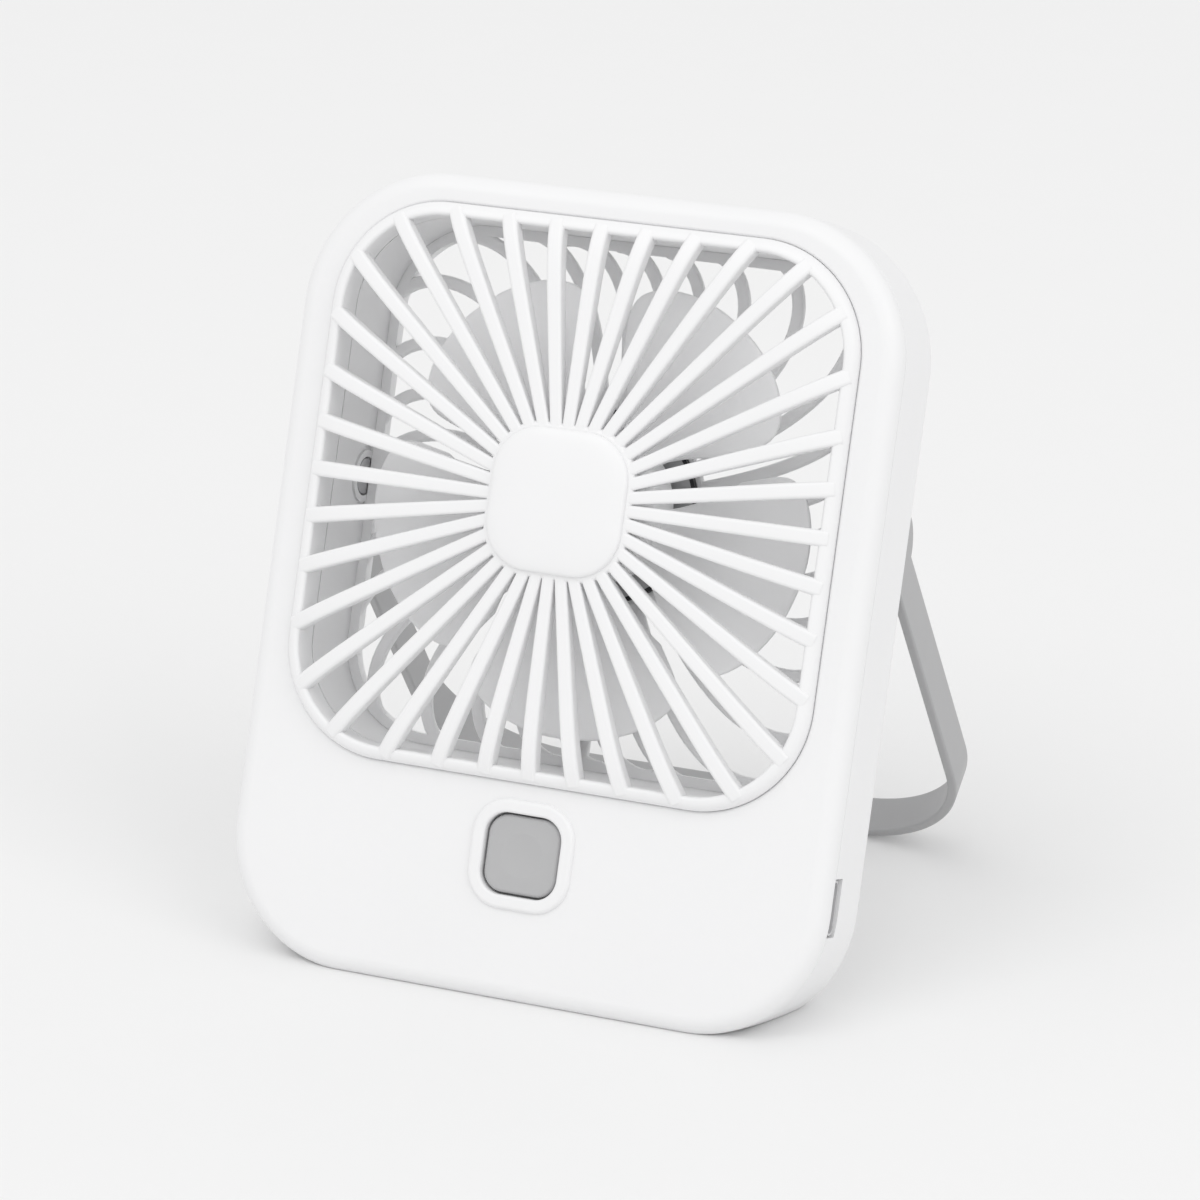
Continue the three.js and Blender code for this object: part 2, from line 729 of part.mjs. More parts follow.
function usbSocket() {
  const right = halfWidth - 0.5;
  const left = right - usb.socketDepth;
  const front = rearStart + 0.2;
  const back = front + usb.socketThickness;
  const outer = new THREE.Shape();
  const half = usb.socketLength / 2;
  const radius = usb.socketThickness / 2 - 0.01;
  const stadium = roundedOutline(-half, half, -radius, radius, radius - 0.01);
  outer.setFromPoints(stadium.getPoints(5).slice(0, -1));
  const wall = usb.socketWall;
  const hole = roundedOutline(-half + wall, half - wall, -radius + wall, radius - wall, radius - wall - 0.05);
  const along = (shape, x0, x1) => {
    const geometry = new THREE.ExtrudeGeometry(shape, {
      depth: x1 - x0,
      bevelEnabled: false,
      curveSegments: 5,
    });
    geometry.rotateY(Math.PI / 2);
    geometry.translate(x0, (front + back) / 2, usb.height);
    return solid(geometry);
  };
  const level = (front + back) / 2;
  const tongueHalf = usb.tongueWidth / 2;
  const tongue = block(
    left + 1,
    right - 0.8,
    level - usb.tongueThickness / 2,
    level + usb.tongueThickness / 2,
    usb.height - tongueHalf,
    usb.height + tongueHalf,
  );
  return join(cut(along(stadium, left, right), along(hole, left + 1.2, right + 1)), tongue);
}

const switchBack = board.depth - GAP;
const switchFront = switchBack - tact.height;
const tactSwitch = () =>
  cut(
    block(
      -tact.half,
      tact.half,
      switchFront,
      switchBack,
      button.height - tact.half,
      button.height + tact.half,
    ),
    rod(tact.wellRadius, switchFront - 1, switchFront + 1.2, 0, button.height, 20),
  );
const plungerFront = switchFront - tact.plungerRise;
const switchPlunger = () =>
  rod(tact.plungerRadius, plungerFront, switchFront + 0.6, 0, button.height, 20);

function powerButton() {
  const flangeBack = housing.wall + GAP + button.flangeThickness;
  const face = slab(
    squareOutline(button.half, button.radius, button.height),
    button.front,
    button.front + button.thickness,
    button.edge,
    2,
  );
  const flange = slab(
    squareOutline(button.half + button.flange, button.radius + button.flange, button.height),
    housing.wall + GAP,
    flangeBack,
  );
  const neck = slab(
    squareOutline(button.half - button.neckInset, button.radius - button.neckInset, button.height),
    1,
    flangeBack,
  );
  const stem = rod(button.stemRadius, 1, plungerFront - button.stemGap, 0, button.height, 20);
  return join(face, flange, neck, stem);
}

const batteryFront = insideBack - GAP - battery.thickness;

function batteryCell() {
  const middle = board.top - 1 - battery.height / 2;
  const outline = roundedOutline(
    battery.middle - battery.length / 2,
    battery.middle + battery.length / 2,
    middle - battery.height / 2,
    middle + battery.height / 2,
    battery.corner,
  );
  return slab(outline, batteryFront, batteryFront + battery.thickness, battery.edge, 2, 4);
}

function motorLead() {
  const y = rearGrilleFront - GAP - lead.radius;
  const start = -motor.baseRadius + 1.6;
  return wire(
    lead.radius,
    [
      [0, y, start],
      [0, y, -20],
      [0, y, -30],
      [0, y, -40],
      [0, y, -ductOuter - 0.2],
      [0, y - 3, -ductOuter - 1.8],
      [0, board.depth + 3, -ductOuter - 2],
    ],
    18,
  );
}

function batteryLead() {
  const x = battery.middle + battery.length / 2 + GAP;
  const z = board.top - 6;
  const y = batteryFront + battery.thickness / 2;
  return wire(
    lead.radius,
    [
      [x, y, z],
      [x + 2.5, y, z],
      [x + 3.6, y - 2, z],
      [x + 3.6, board.depth + board.thickness + GAP, z],
    ],
    9,
  );
}

// ---- stand and fasteners --------------------------------------------------------------------

// The folded stand about its pivot.
function standPiece() {
  const ribbon = slab(standOutline(), -stand.width / 2, stand.width / 2, stand.edge, 1);
  const inner = standOuter - stand.thickness;
  const knuckle = (side) => crossRod(stand.knuckleRadius, side * inner, side * standOuter, 0, 0, 40);
  const hole = (side) => crossRod(pin.radius + RUNNING, side * (duct.half - 2), side * (halfWidth + 5), 0, 0);
  return cut(join(ribbon, knuckle(1), knuckle(-1)), hole(1), hole(-1));
}

const pivotPin = (side) =>
  join(
    crossRod(
      pin.headRadius,
      side * (duct.half + 0.1),
      side * (duct.half + pin.headThickness),
      ...pivot,
    ),
    crossRod(pin.radius, side * (duct.half + 1), side * (standOuter - 0.3), ...pivot),
  );

function frictionWasher(side) {
  const start = side * (slotInner - washer.thickness + 0.15);
  const end = side * (slotInner + 0.15);
  return cut(
    crossRod(washer.radius, start, end, ...pivot),
    crossRod(pin.radius + RUNNING, side * (duct.half - 2), side * (halfWidth + 5), ...pivot),
  );
}

function shellScrew(p) {
  const seat = screw.seat + GAP;
  const drive = block(
    -screw.driveWidth / 2,
    screw.driveWidth / 2,
    seat + screw.headThickness - screw.driveDepth,
    seat + 2 * screw.headThickness,
    -screw.driveLength / 2,
    screw.driveLength / 2,
  );
  const cross = join(drive, drive.rotate([0, 90, 0])).translate(p.x, 0, p.z);
  return cut(
    join(
      rod(screw.headRadius, seat, seat + screw.headThickness, p.x, p.z, 24),
      rod(screw.radius, seat - screw.length, seat + 0.5, p.x, p.z, 14),
    ),
    cross,
  );
}

// ---- materials -----------------------------------------------------------------------------

const finish = (color, roughness, metalness = 0) =>
  new THREE.MeshStandardMaterial({ color, roughness, metalness });
const whitePlastic = finish(0xf2f2f1, 0.45);
const softWhite = finish(0xececeb, 0.5);
const greyPlastic = finish(0x9d9d9e, 0.5);
const bladePlastic = finish(0xc4c6c8, 0.4);
const darkPlastic = finish(0x3a3b3d, 0.55);
const steel = finish(0xb4b5b7, 0.35, 1);
const bronze = finish(0xa9824e, 0.45, 1);
const magnet = finish(0x2c2c2e, 0.7);
const copper = finish(0xb8683c, 0.4, 1);
const boardGreen = finish(0x1f5a3c, 0.6);
const cellWrap = finish(0xb9bcc0, 0.35, 0.4);
const leadRed = finish(0xb23a34, 0.5);

// ---- assembly ------------------------------------------------------------------------------

function piece(parent, name, made, material) {
  const mesh = new THREE.Mesh(geometryOf(made), material);
  mesh.name = name;
  parent.add(mesh);
  return mesh;
}

const fan = new THREE.Group();
const leaning = new THREE.Group();
leaning.rotation.x = -LEAN;
fan.add(leaning);

piece(leaning, "front_shell", frontShell(), whitePlastic);
piece(leaning, "rear_shell", rearShell(), softWhite);
piece(leaning, "front_grille", frontGrille(), whitePlastic);
piece(leaning, "grille_cap", grilleCap(), whitePlastic);
piece(leaning, "rear_grille", rearGrillePiece(), softWhite);

piece(leaning, "impeller", impellerPiece(), bladePlastic);
piece(leaning, "rotor_cup", rotorCup(), steel);
piece(leaning, "magnet_ring", magnetRing(), magnet);
piece(leaning, "motor_shaft", shaft(), steel);
piece(leaning, "bearing_bush", bush(), bronze);
piece(leaning, "stator_core", statorCore(), copper);
piece(leaning, "motor_base", motorBase(), darkPlastic);

piece(leaning, "power_button", powerButton(), greyPlastic);
piece(leaning, "tact_switch", tactSwitch(), darkPlastic);
piece(leaning, "switch_plunger", switchPlunger(), darkPlastic);
piece(leaning, "main_board", mainBoard(), boardGreen);
piece(leaning, "usb_c_socket", usbSocket(), steel);
piece(leaning, "battery_cell", batteryCell(), cellWrap);
piece(leaning, "motor_lead", motorLead(), leadRed);
piece(leaning, "battery_lead", batteryLead(), leadRed);

for (const [sideName, side] of [["left", -1], ["right", 1]]) {
  piece(leaning, "pivot_pin_" + sideName, pivotPin(side), steel);
  piece(leaning, "friction_washer_" + sideName, frictionWasher(side), steel);
}
for (const p of posts) piece(leaning, "shell_screw_" + p.name, shellScrew(p), steel);

const hinge = new THREE.Group();
hinge.position.set(0, ...pivot);
hinge.rotation.x = stand.openAngle;
leaning.add(hinge);
piece(hinge, "stand", standPiece(), greyPlastic);

// The origin is under the middle of the standing fan, on the surface that it stands on.
fan.updateMatrixWorld(true);
const bounds = new THREE.Box3().setFromObject(fan, true);
const middle = bounds.getCenter(new THREE.Vector3());
leaning.position.set(-middle.x, -middle.y, -bounds.min.z);
fan.updateMatrixWorld(true);

export default fan;
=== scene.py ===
"""Folding desk fan: finished shells, grilles, impeller and stand, with studio light.

The pieces are drawn in millimetres in the housing's own frame and then placed on the CAD frame:
X to the right, Y the depth behind the front panel, Z up the panel, the fan's axis at X = 0, Z = 0.
"""

import json
import math

import bmesh
import bpy
from mathutils import Matrix, Vector


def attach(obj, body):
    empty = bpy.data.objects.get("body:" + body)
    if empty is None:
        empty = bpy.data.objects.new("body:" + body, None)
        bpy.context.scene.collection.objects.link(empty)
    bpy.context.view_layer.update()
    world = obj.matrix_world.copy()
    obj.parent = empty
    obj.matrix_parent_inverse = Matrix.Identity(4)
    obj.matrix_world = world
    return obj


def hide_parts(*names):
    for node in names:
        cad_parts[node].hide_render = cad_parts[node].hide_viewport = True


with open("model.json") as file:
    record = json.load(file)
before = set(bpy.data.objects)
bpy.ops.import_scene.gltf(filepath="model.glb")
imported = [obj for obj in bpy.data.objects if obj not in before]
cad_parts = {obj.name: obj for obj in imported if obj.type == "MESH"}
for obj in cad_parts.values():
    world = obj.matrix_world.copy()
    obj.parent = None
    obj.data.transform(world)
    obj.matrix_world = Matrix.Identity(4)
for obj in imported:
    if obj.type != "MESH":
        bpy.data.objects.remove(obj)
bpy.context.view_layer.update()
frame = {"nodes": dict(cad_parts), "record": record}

# ---- sizes, in millimetres ------------------------------------------------------------------

GAP = 0.3
QUARTER = 24  # steps in a quarter turn of a visible outline
ROUND = 48  # steps in a full circle
LARGE_ROUND = 96  # steps in a large one
COARSE = 12  # steps in a quarter turn of a small outline
LEAST_CORNER = 0.05
JOIN = 0.2  # how far a piece reaches into the one that it joins

# housing
HALF_WIDTH = 52.3
TOP = 50.7
BOTTOM = -81.5
DEPTH = 20.1
WALL = 1.8
TOP_RADIUS = 23.5
BOTTOM_RADIUS = 22
FRONT_ROUND = 3
BACK_ROUND = 4
SEAM = 3.5  # depth of the seam between the two shells
REAR_START = SEAM + GAP
BASE_PLANED = 1  # depth at which the planed base starts
PANEL_LIP_FRONT = 0.9
REAR_EDGE = 0.25  # rounding of the rear shell's edge at the seam

# duct
DUCT_HALF = 43.6
DUCT_RADIUS = 16.4
DUCT_WALL = 1.4
DUCT_LIP = 0.8
LIP_REACH = 1.6

# front grille and its cap
GRILLE_HALF = 45.9
GRILLE_RADIUS = 18.5
GROOVE = 0.01  # between the grille's rim and the panel's opening, below the open mouth
GRILLE_OPENING = GRILLE_HALF + GROOVE
OPENING_FLARE = 0.55
RIM_ROUND = 1.9
RIM_FLARE = 0.6
RIBS = 36
RIB_POINTS = 22
RIB_CROWDING = 1.6  # how much closer a rib's points lie at the rim
RIB_WIDTH = 2.05
RIB_SPREAD = 0.28  # how much broader a rib is at the rim than at the hub
RIB_DEPTH = 2.3
RIB_INTO_HUB = 1.2
RIB_INTO_RIM = 0.9
RIB_EDGE = 0.24  # radius of a rib's long edges, as a share of its width
RIM_RISE = 2
DOME_RISE = 4.9
DOME_SHOULDER = 0.58  # share of the dome's rise that is gained right at the rim
DOME_BEND = 9
FLANGE = 1.9  # the grille's edge behind the panel
FLANGE_DEPTHS = (2.1, 3.2)
HUB_HALF = 12.6
HUB_RADIUS = 8.4
HUB_THICKNESS = 2.4
HUB_ROUNDS = (0.9, 0.4)  # front and back edge
PEG_RADIUS = 3
CAP_HALF = 11.7
CAP_RADIUS = 7.8
CAP_RISE = 1.6
CAP_SEAT = 0.05  # the cap's back, forward of the dome
CAP_CROWN = 0.8  # power of the pillow's rise
CAP_SHOULDER = 1.5  # power of the pillow's inset
CAP_SPREAD = 0.94  # how far the crown is drawn in at its middle, as a share of the half width
CAP_CORNER = 0.72  # largest corner radius, as a share of the half width

# rear grille, with the motor's plate
REAR_RIBS = 30
REAR_RIB_WIDTH = 2.2
REAR_SWIRL = math.radians(18)
REAR_THICKNESS = 1.4
REAR_FRAME = 1.7
REAR_SLACK = 0.03
REAR_RIB_INTO_FRAME = 0.8
SPOKE_HALF = 2
SPOKE_INTO_FRAME = 1.3
SUNK = 0.04  # step between the faces of joined shells, which never lie in one plane
GRILLE_BACK = DEPTH - DUCT_LIP - GAP
REAR_FRONT = GRILLE_BACK - REAR_THICKNESS
PLATE_RADIUS = 17
PLATE_ROUNDS = (0.3, 0.5)  # bevels of its front and back edge
PLATE_SHADE_RADIUS = 0.0153  # radius in metres beyond which the plate's rim is painted dark, as painted shade of the gap round it

# button, charging socket and the motor lead's hole
BUTTON_HEIGHT = -57.6
BUTTON_HALF = 6.35
BUTTON_RADIUS = 3.4
BUTTON_SLACK = 0.35
BUTTON_HOLE_FLARE = 0.5
BUTTON_RING = 2.3
RING_RISE = 0.8
KEY_FRONT = 0.1
KEY_THICKNESS = 1.7
KEY_EDGE = 0.55
DISH_SPHERE = 26
DISH_DEPTH = 0.28
KEY_FLANGE = 1.2
KEY_FLANGE_DEPTHS = (2.1, 2.7)
STEM_RADIUS = 2.2
STEM_BACK = 3.15
SOCKET_HEIGHT = -58
SOCKET_LENGTH = 9.5
SOCKET_MOUTH = 3.2
LEAD_HOLE = (1.1, 8)  # radius and length
LEAD_DEPTH = 0.9  # of the lead's axis, forward of the rear grille

# stand, pins and washers
STAND_OUTER = 51.2
STAND_THICKNESS = 1.7
STAND_WIDTH = 7.2
STAND_EDGE = 0.45
SLOT_WALL = 1.5
STAND_CORNER = 24
STAND_BEVEL = 0.4  # at the ribbon's edges, where the foot touches the ground
KNUCKLE_RADIUS = 7.2
KNUCKLE_EDGE = 0.4
PIN_RADIUS = 2
PIN_HEAD = 3
PIN_HEAD_DEPTH = 1.8
PIN_SLACK = 0.08
PIN_HOLE = (40, 50)  # range along X of the cuts for a pin in the shell
EYE_HOLE = (40, 60)  # and in the stand
PIN_RING = (1.4, 2.2, 0.45)  # groove round the pin: its start and end beyond the head, and its depth
BOSS_RADIUS = 6  # of the solid boss behind the knuckle
WASHER_SEAT = (4.6, 0.7)  # radius and depth
PIVOT_DEPTH = 16.2
PIVOT_HEIGHT = -0.5
OPEN_ANGLE = math.radians(54.7)
CLOSED_ANGLE = math.radians(7.5)
SLOT_OUTER = STAND_OUTER + GAP
SLOT_INNER = STAND_OUTER - STAND_THICKNESS - GAP

# impeller
BLADES = 5
TIP_RADIUS = 38.5
BLADE_HUB_RADIUS = 12.7
BLADE_FRONT = 5.2
BLADE_BACK = 14.2
BLADE_THICKNESS = 1.2
BLADE_STEPS = 30
BLADE_SPAN = math.radians(64)
FIRST_BLADE = math.radians(56)
BLADE_HUB_WALL = 1
BLADE_HUB_FACE = 1.5
BLADE_HUB_EDGE = 1.5
BLADE_ROOT_SPAN = 0.62  # the blade's width at the hub, as a share of its span
BLADE_TIP_START = 0.55  # share of the blade's length at which its corners start to round
BLADE_TIP_NARROWING = 0.97
BLADE_TIP_POWER = 5
BLADE_EDGE_POWERS = (14, 30)  # the higher, the later the blade thins towards its sides and its tip
BLADE_PITCH_EASE = 0.35  # how much flatter the blade is at its tip

# screws and posts
SCREW_SEAT = 14.3
SCREW_FLOOR = 2  # plastic under the head
SCREW_BOSS = 3.6
SCREW_HOLE = 1.2
SCREW_HEAD_HOLE = 2.5
POST_RADIUS = 2.3
POST_FRONT = 1
POST_BACK = 12
UPPER_POST = DUCT_HALF - DUCT_RADIUS + (DUCT_RADIUS + DUCT_WALL + POST_RADIUS + GAP) * math.sqrt(0.5)
POSTS = [(-UPPER_POST, UPPER_POST), (UPPER_POST, UPPER_POST), (-40, -65), (40, -65)]

# ---- the housing's frame, from the fan's own axis ----------------------------------------------

joints = {j["name"]: j for j in frame["record"]["behaviour"]["joints"]}
spin = joints["impeller_spin"]
LEAN = -math.atan2(spin["axis"][2], spin["axis"][1])
HOUSING = (
    Matrix.Translation(Vector(spin["pos_m"]))
    @ Matrix.Rotation(-LEAN, 4, "X")
    @ Matrix.Scale(0.001, 4)
)
FOOT_ANGLE = OPEN_ANGLE - LEAN
ABOVE_BASE = (PIVOT_HEIGHT - BOTTOM) * math.cos(LEAN) + (BASE_PLANED - PIVOT_DEPTH) * math.sin(LEAN)
FOOT_EDGE = (STAND_WIDTH / 2 - STAND_BEVEL) * math.sin(FOOT_ANGLE)
STAND_REACH = (ABOVE_BASE - FOOT_EDGE) / math.cos(FOOT_ANGLE)
PIVOT = Matrix.Translation((0, PIVOT_DEPTH, PIVOT_HEIGHT))
OPEN_STAND = PIVOT @ Matrix.Rotation(OPEN_ANGLE, 4, "X")
CLOSED_STAND = PIVOT @ Matrix.Rotation(CLOSED_ANGLE, 4, "X")


# ---- shapes ---------------------------------------------------------------------------------


def arc(cx, cz, radius, start, end, steps=QUARTER):
    """Points of an arc, from start to end in quarter turns."""
    turns = [(start + (end - start) * i / steps) * math.pi / 2 for i in range(steps + 1)]
    return [(cx + radius * math.cos(a), cz + radius * math.sin(a)) for a in turns]


def rounded(left, right, bottom, top, upper, lower, inset=0.0, steps=QUARTER):
    """A rectangle with round corners, drawn in by inset all round."""
    u = max(upper - inset, LEAST_CORNER)
    w = max(lower - inset, LEAST_CORNER)
    left, right, bottom, top = left + inset, right - inset, bottom + inset, top - inset
    return (
        arc(right - u, top - u, u, 0, 1, steps)
        + arc(left + u, top - u, u, 1, 2, steps)
        + arc(left + w, bottom + w, w, 2, 3, steps)
        + arc(right - w, bottom + w, w, 3, 4, steps)
    )


def square(half, radius, height=0.0, steps=QUARTER):
    return lambda inset: rounded(-half, half, height - half, height + half, radius, radius, inset, steps)


def housing(inset):
    return rounded(-HALF_WIDTH, HALF_WIDTH, BOTTOM, TOP, TOP_RADIUS, BOTTOM_RADIUS, inset)


def stand_loop(inset):
    """The U that the ribbon follows, with the stand hanging straight down from its pivot."""
    outer = STAND_OUTER - inset
    inner = STAND_OUTER - STAND_THICKNESS + inset
    cx = STAND_OUTER - STAND_CORNER
    cz = STAND_CORNER - STAND_REACH
    big = STAND_CORNER - inset
    small = STAND_CORNER - STAND_THICKNESS + inset
    return (
        [(-outer, 0)]
        + arc(-cx, cz, big, 2, 3)
        + arc(cx, cz, big, 3, 4)
        + [(outer, 0), (inner, 0)]
        + arc(cx, cz, small, 4, 3)
        + arc(-cx, cz, small, 3, 2)
        + [(-inner, 0)]
    )


def new_object(name, bm):
    mesh = bpy.data.meshes.new(name)
    bmesh.ops.remove_doubles(bm, verts=bm.verts, dist=1e-5)
    bmesh.ops.recalc_face_normals(bm, faces=bm.faces)
    bm.to_mesh(mesh)
    bm.free()
    made = bpy.data.objects.new(name, mesh)
    bpy.context.scene.collection.objects.link(made)
    return made


def stack(outline, levels):
    """A closed solid through one outline at each (depth, inset) level."""
    bm = bmesh.new()
    loops = [[bm.verts.new((x, depth, z)) for x, z in outline(inset)] for depth, inset in levels]
    for near, far in zip(loops, loops[1:]):
        for i in range(len(near)):
            k = (i + 1) % len(near)
            bm.faces.new((near[i], near[k], far[k], far[i]))
    bm.faces.new(loops[0])
    bm.faces.new(loops[-1])
    return new_object("tool", bm)


def slab(outline, front, back, front_round=0.0, back_round=0.0, steps=10):
    """An outline made solid from front to back, with round edges."""
    levels = []
    for i in range(steps + 1) if front_round else []:
        a = i / steps * math.pi / 2
        levels.append((front + front_round * (1 - math.cos(a)), front_round * (1 - math.sin(a))))
    if not front_round:
        levels.append((front, 0))
    for i in range(steps + 1) if back_round else []:
        a = i / steps * math.pi / 2
        levels.append((back - back_round * (1 - math.sin(a)), back_round * (1 - math.cos(a))))
    if not back_round:
        levels.append((back, 0))
    return stack(outline, levels)


def block(x0, x1, y0, y1, z0, z1):
    return stack(lambda _: [(x0, z0), (x1, z0), (x1, z1), (x0, z1)], [(y0, 0), (y1, 0)])


def turned(profile, x=0.0, z=0.0, axis="Y", y=0.0, steps=ROUND):
    """A closed solid turned from [radius, position] points that start and end on the axis."""
    bm = bmesh.new()
    rings = []
    for radius, along in profile:
        if radius < 1e-6:
            point = (0, along, 0) if axis == "Y" else (along, 0, 0)
            rings.append([bm.verts.new(point)])
            continue
        ring = []
        for i in range(steps):
            a = 2 * math.pi * i / steps
            c, s = radius * math.cos(a), radius * math.sin(a)
            ring.append(bm.verts.new((c, along, s) if axis == "Y" else (along, c, s)))
        rings.append(ring)
    for near, far in zip(rings, rings[1:]):
        for i in range(steps):
            k = (i + 1) % steps
            corners = [near[i % len(near)], near[k % len(near)], far[k % len(far)], far[i % len(far)]]
            unique = list(dict.fromkeys(corners))
            if len(unique) > 2:
                bm.faces.new(unique)
    made = new_object("tool", bm)
    made.data.transform(Matrix.Translation((x, y, z)))
    return made


def rod(radius, front, back, x=0.0, z=0.0):
    return turned([(0, front), (radius, front), (radius, back), (0, back)], x, z)


def cross_rod(radius, x0, x1, y, z, edge=0.0):
    """A cylinder along X, its rims rounded by edge."""
    lo, hi = min(x0, x1), max(x0, x1)
    if not edge:
        profile = [(0, lo), (radius, lo), (radius, hi), (0, hi)]
    else:
        profile = [(0, lo)]
        for i in range(5):
            a = i / 4 * math.pi / 2
            profile.append((radius - edge + edge * math.sin(a), lo + edge - edge * math.cos(a)))
        for i in range(5):
            a = i / 4 * math.pi / 2
            profile.append((radius - edge + edge * math.cos(a), hi - edge + edge * math.sin(a)))
        profile.append((0, hi))
    return turned(profile, 0, z, "X", y)


def moved(made, matrix):
    made.data.transform(matrix)
    return made


def evaluated(made):
    """Replaces the object's mesh by what its modifiers make, and removes them."""
    graph = bpy.context.evaluated_depsgraph_get()
    mesh = bpy.data.meshes.new_from_object(made.evaluated_get(graph))
    made.modifiers.clear()
    made.data = mesh
    return made


def combined(base, added=(), taken=()):
    """The base with solids added to it and others taken away."""
    tools = [(t, "UNION") for t in added] + [(t, "DIFFERENCE") for t in taken]
    for tool, operation in tools:
        step = base.modifiers.new(operation, "BOOLEAN")
        step.operation = operation
        step.solver = "MANIFOLD"
        step.object = tool
    evaluated(base)
    for tool, _ in tools:
        bpy.data.objects.remove(tool)
    return base


def merged(base, *others):
    """One object of several closed shells."""
    bm = bmesh.new()
    for made in (base, *others):
        bm.from_mesh(made.data)
    bm.to_mesh(base.data)
    bm.free()
    for made in others:
        bpy.data.objects.remove(made)
    return base


def below_base():
    """The space under the plane that the fan's lower edge is planed to."""
    reach = 150
    made = block(-reach, reach, -reach, reach, -reach, 0)
    place = Matrix.Translation((0, BASE_PLANED, BOTTOM)) @ Matrix.Rotation(LEAN, 4, "X")
    return moved(made, place)


def placed(made, name, material, *nodes, body="housing", sharp=32, matrix=None):
    """Gives a piece its name, place, smooth shading, material and body."""
    made.name = name
    made.data.transform(HOUSING @ (matrix or Matrix()))
    made.data.materials.clear()
    made.data.materials.append(material)
    for polygon in made.data.polygons:
        polygon.use_smooth = True
        polygon.material_index = 0
    made.data.set_sharp_from_angle(angle=math.radians(sharp))
    weigh = made.modifiers.new("weigh", "WEIGHTED_NORMAL")
    weigh.keep_sharp = True
    evaluated(made)
    made.data.name = name
    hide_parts(*nodes)
    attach(made, body)
    return made


# ---- node trees ------------------------------------------------------------------------------


class Value:
    """A socket that takes part in arithmetic by adding Math nodes."""

    def __init__(self, tree, socket):
        self.tree = tree
        self.socket = socket

    def math(self, operation, other=None, swapped=False):
        node = self.tree.nodes.new("ShaderNodeMath")
        node.operation = operation
        terms = [self] if other is None else ([other, self] if swapped else [self, other])
        for slot, term in zip(node.inputs, terms):
            if isinstance(term, Value):
                self.tree.links.new(term.socket, slot)
            else:
                slot.default_value = term
        return Value(self.tree, node.outputs[0])

    def __add__(self, other):
        return self.math("ADD", other)

    __radd__ = __add__

    def __mul__(self, other):
        return self.math("MULTIPLY", other)

    __rmul__ = __mul__

    def __sub__(self, other):
        return self.math("SUBTRACT", other)

    def __rsub__(self, other):
        return self.math("SUBTRACT", other, True)

    def __truediv__(self, other):
        return self.math("DIVIDE", other)

    def __rtruediv__(self, other):
        return self.math("DIVIDE", other, True)

    def __pow__(self, other):
        return self.math("POWER", other)


class Nodes:
    """Adds nodes to one tree, each with its settings and its inputs by name or, as _0, by number."""

    def __init__(self, tree):
        self.tree = tree

    def add(self, kind, settings=None, **inputs):
        node = self.tree.nodes.new(kind)
        for key, value in (settings or {}).items():
            setattr(node, key, value)
        for key, value in inputs.items():
            slot = node.inputs[int(key[1:])] if key[1:].isdigit() else node.inputs[key.replace("_", " ")]
            if isinstance(value, Value):
                value = value.socket
            if isinstance(value, bpy.types.NodeSocket):
                self.tree.links.new(value, slot)
            else:
                slot.default_value = value
        return node

    def value(self, socket):
        return Value(self.tree, socket)


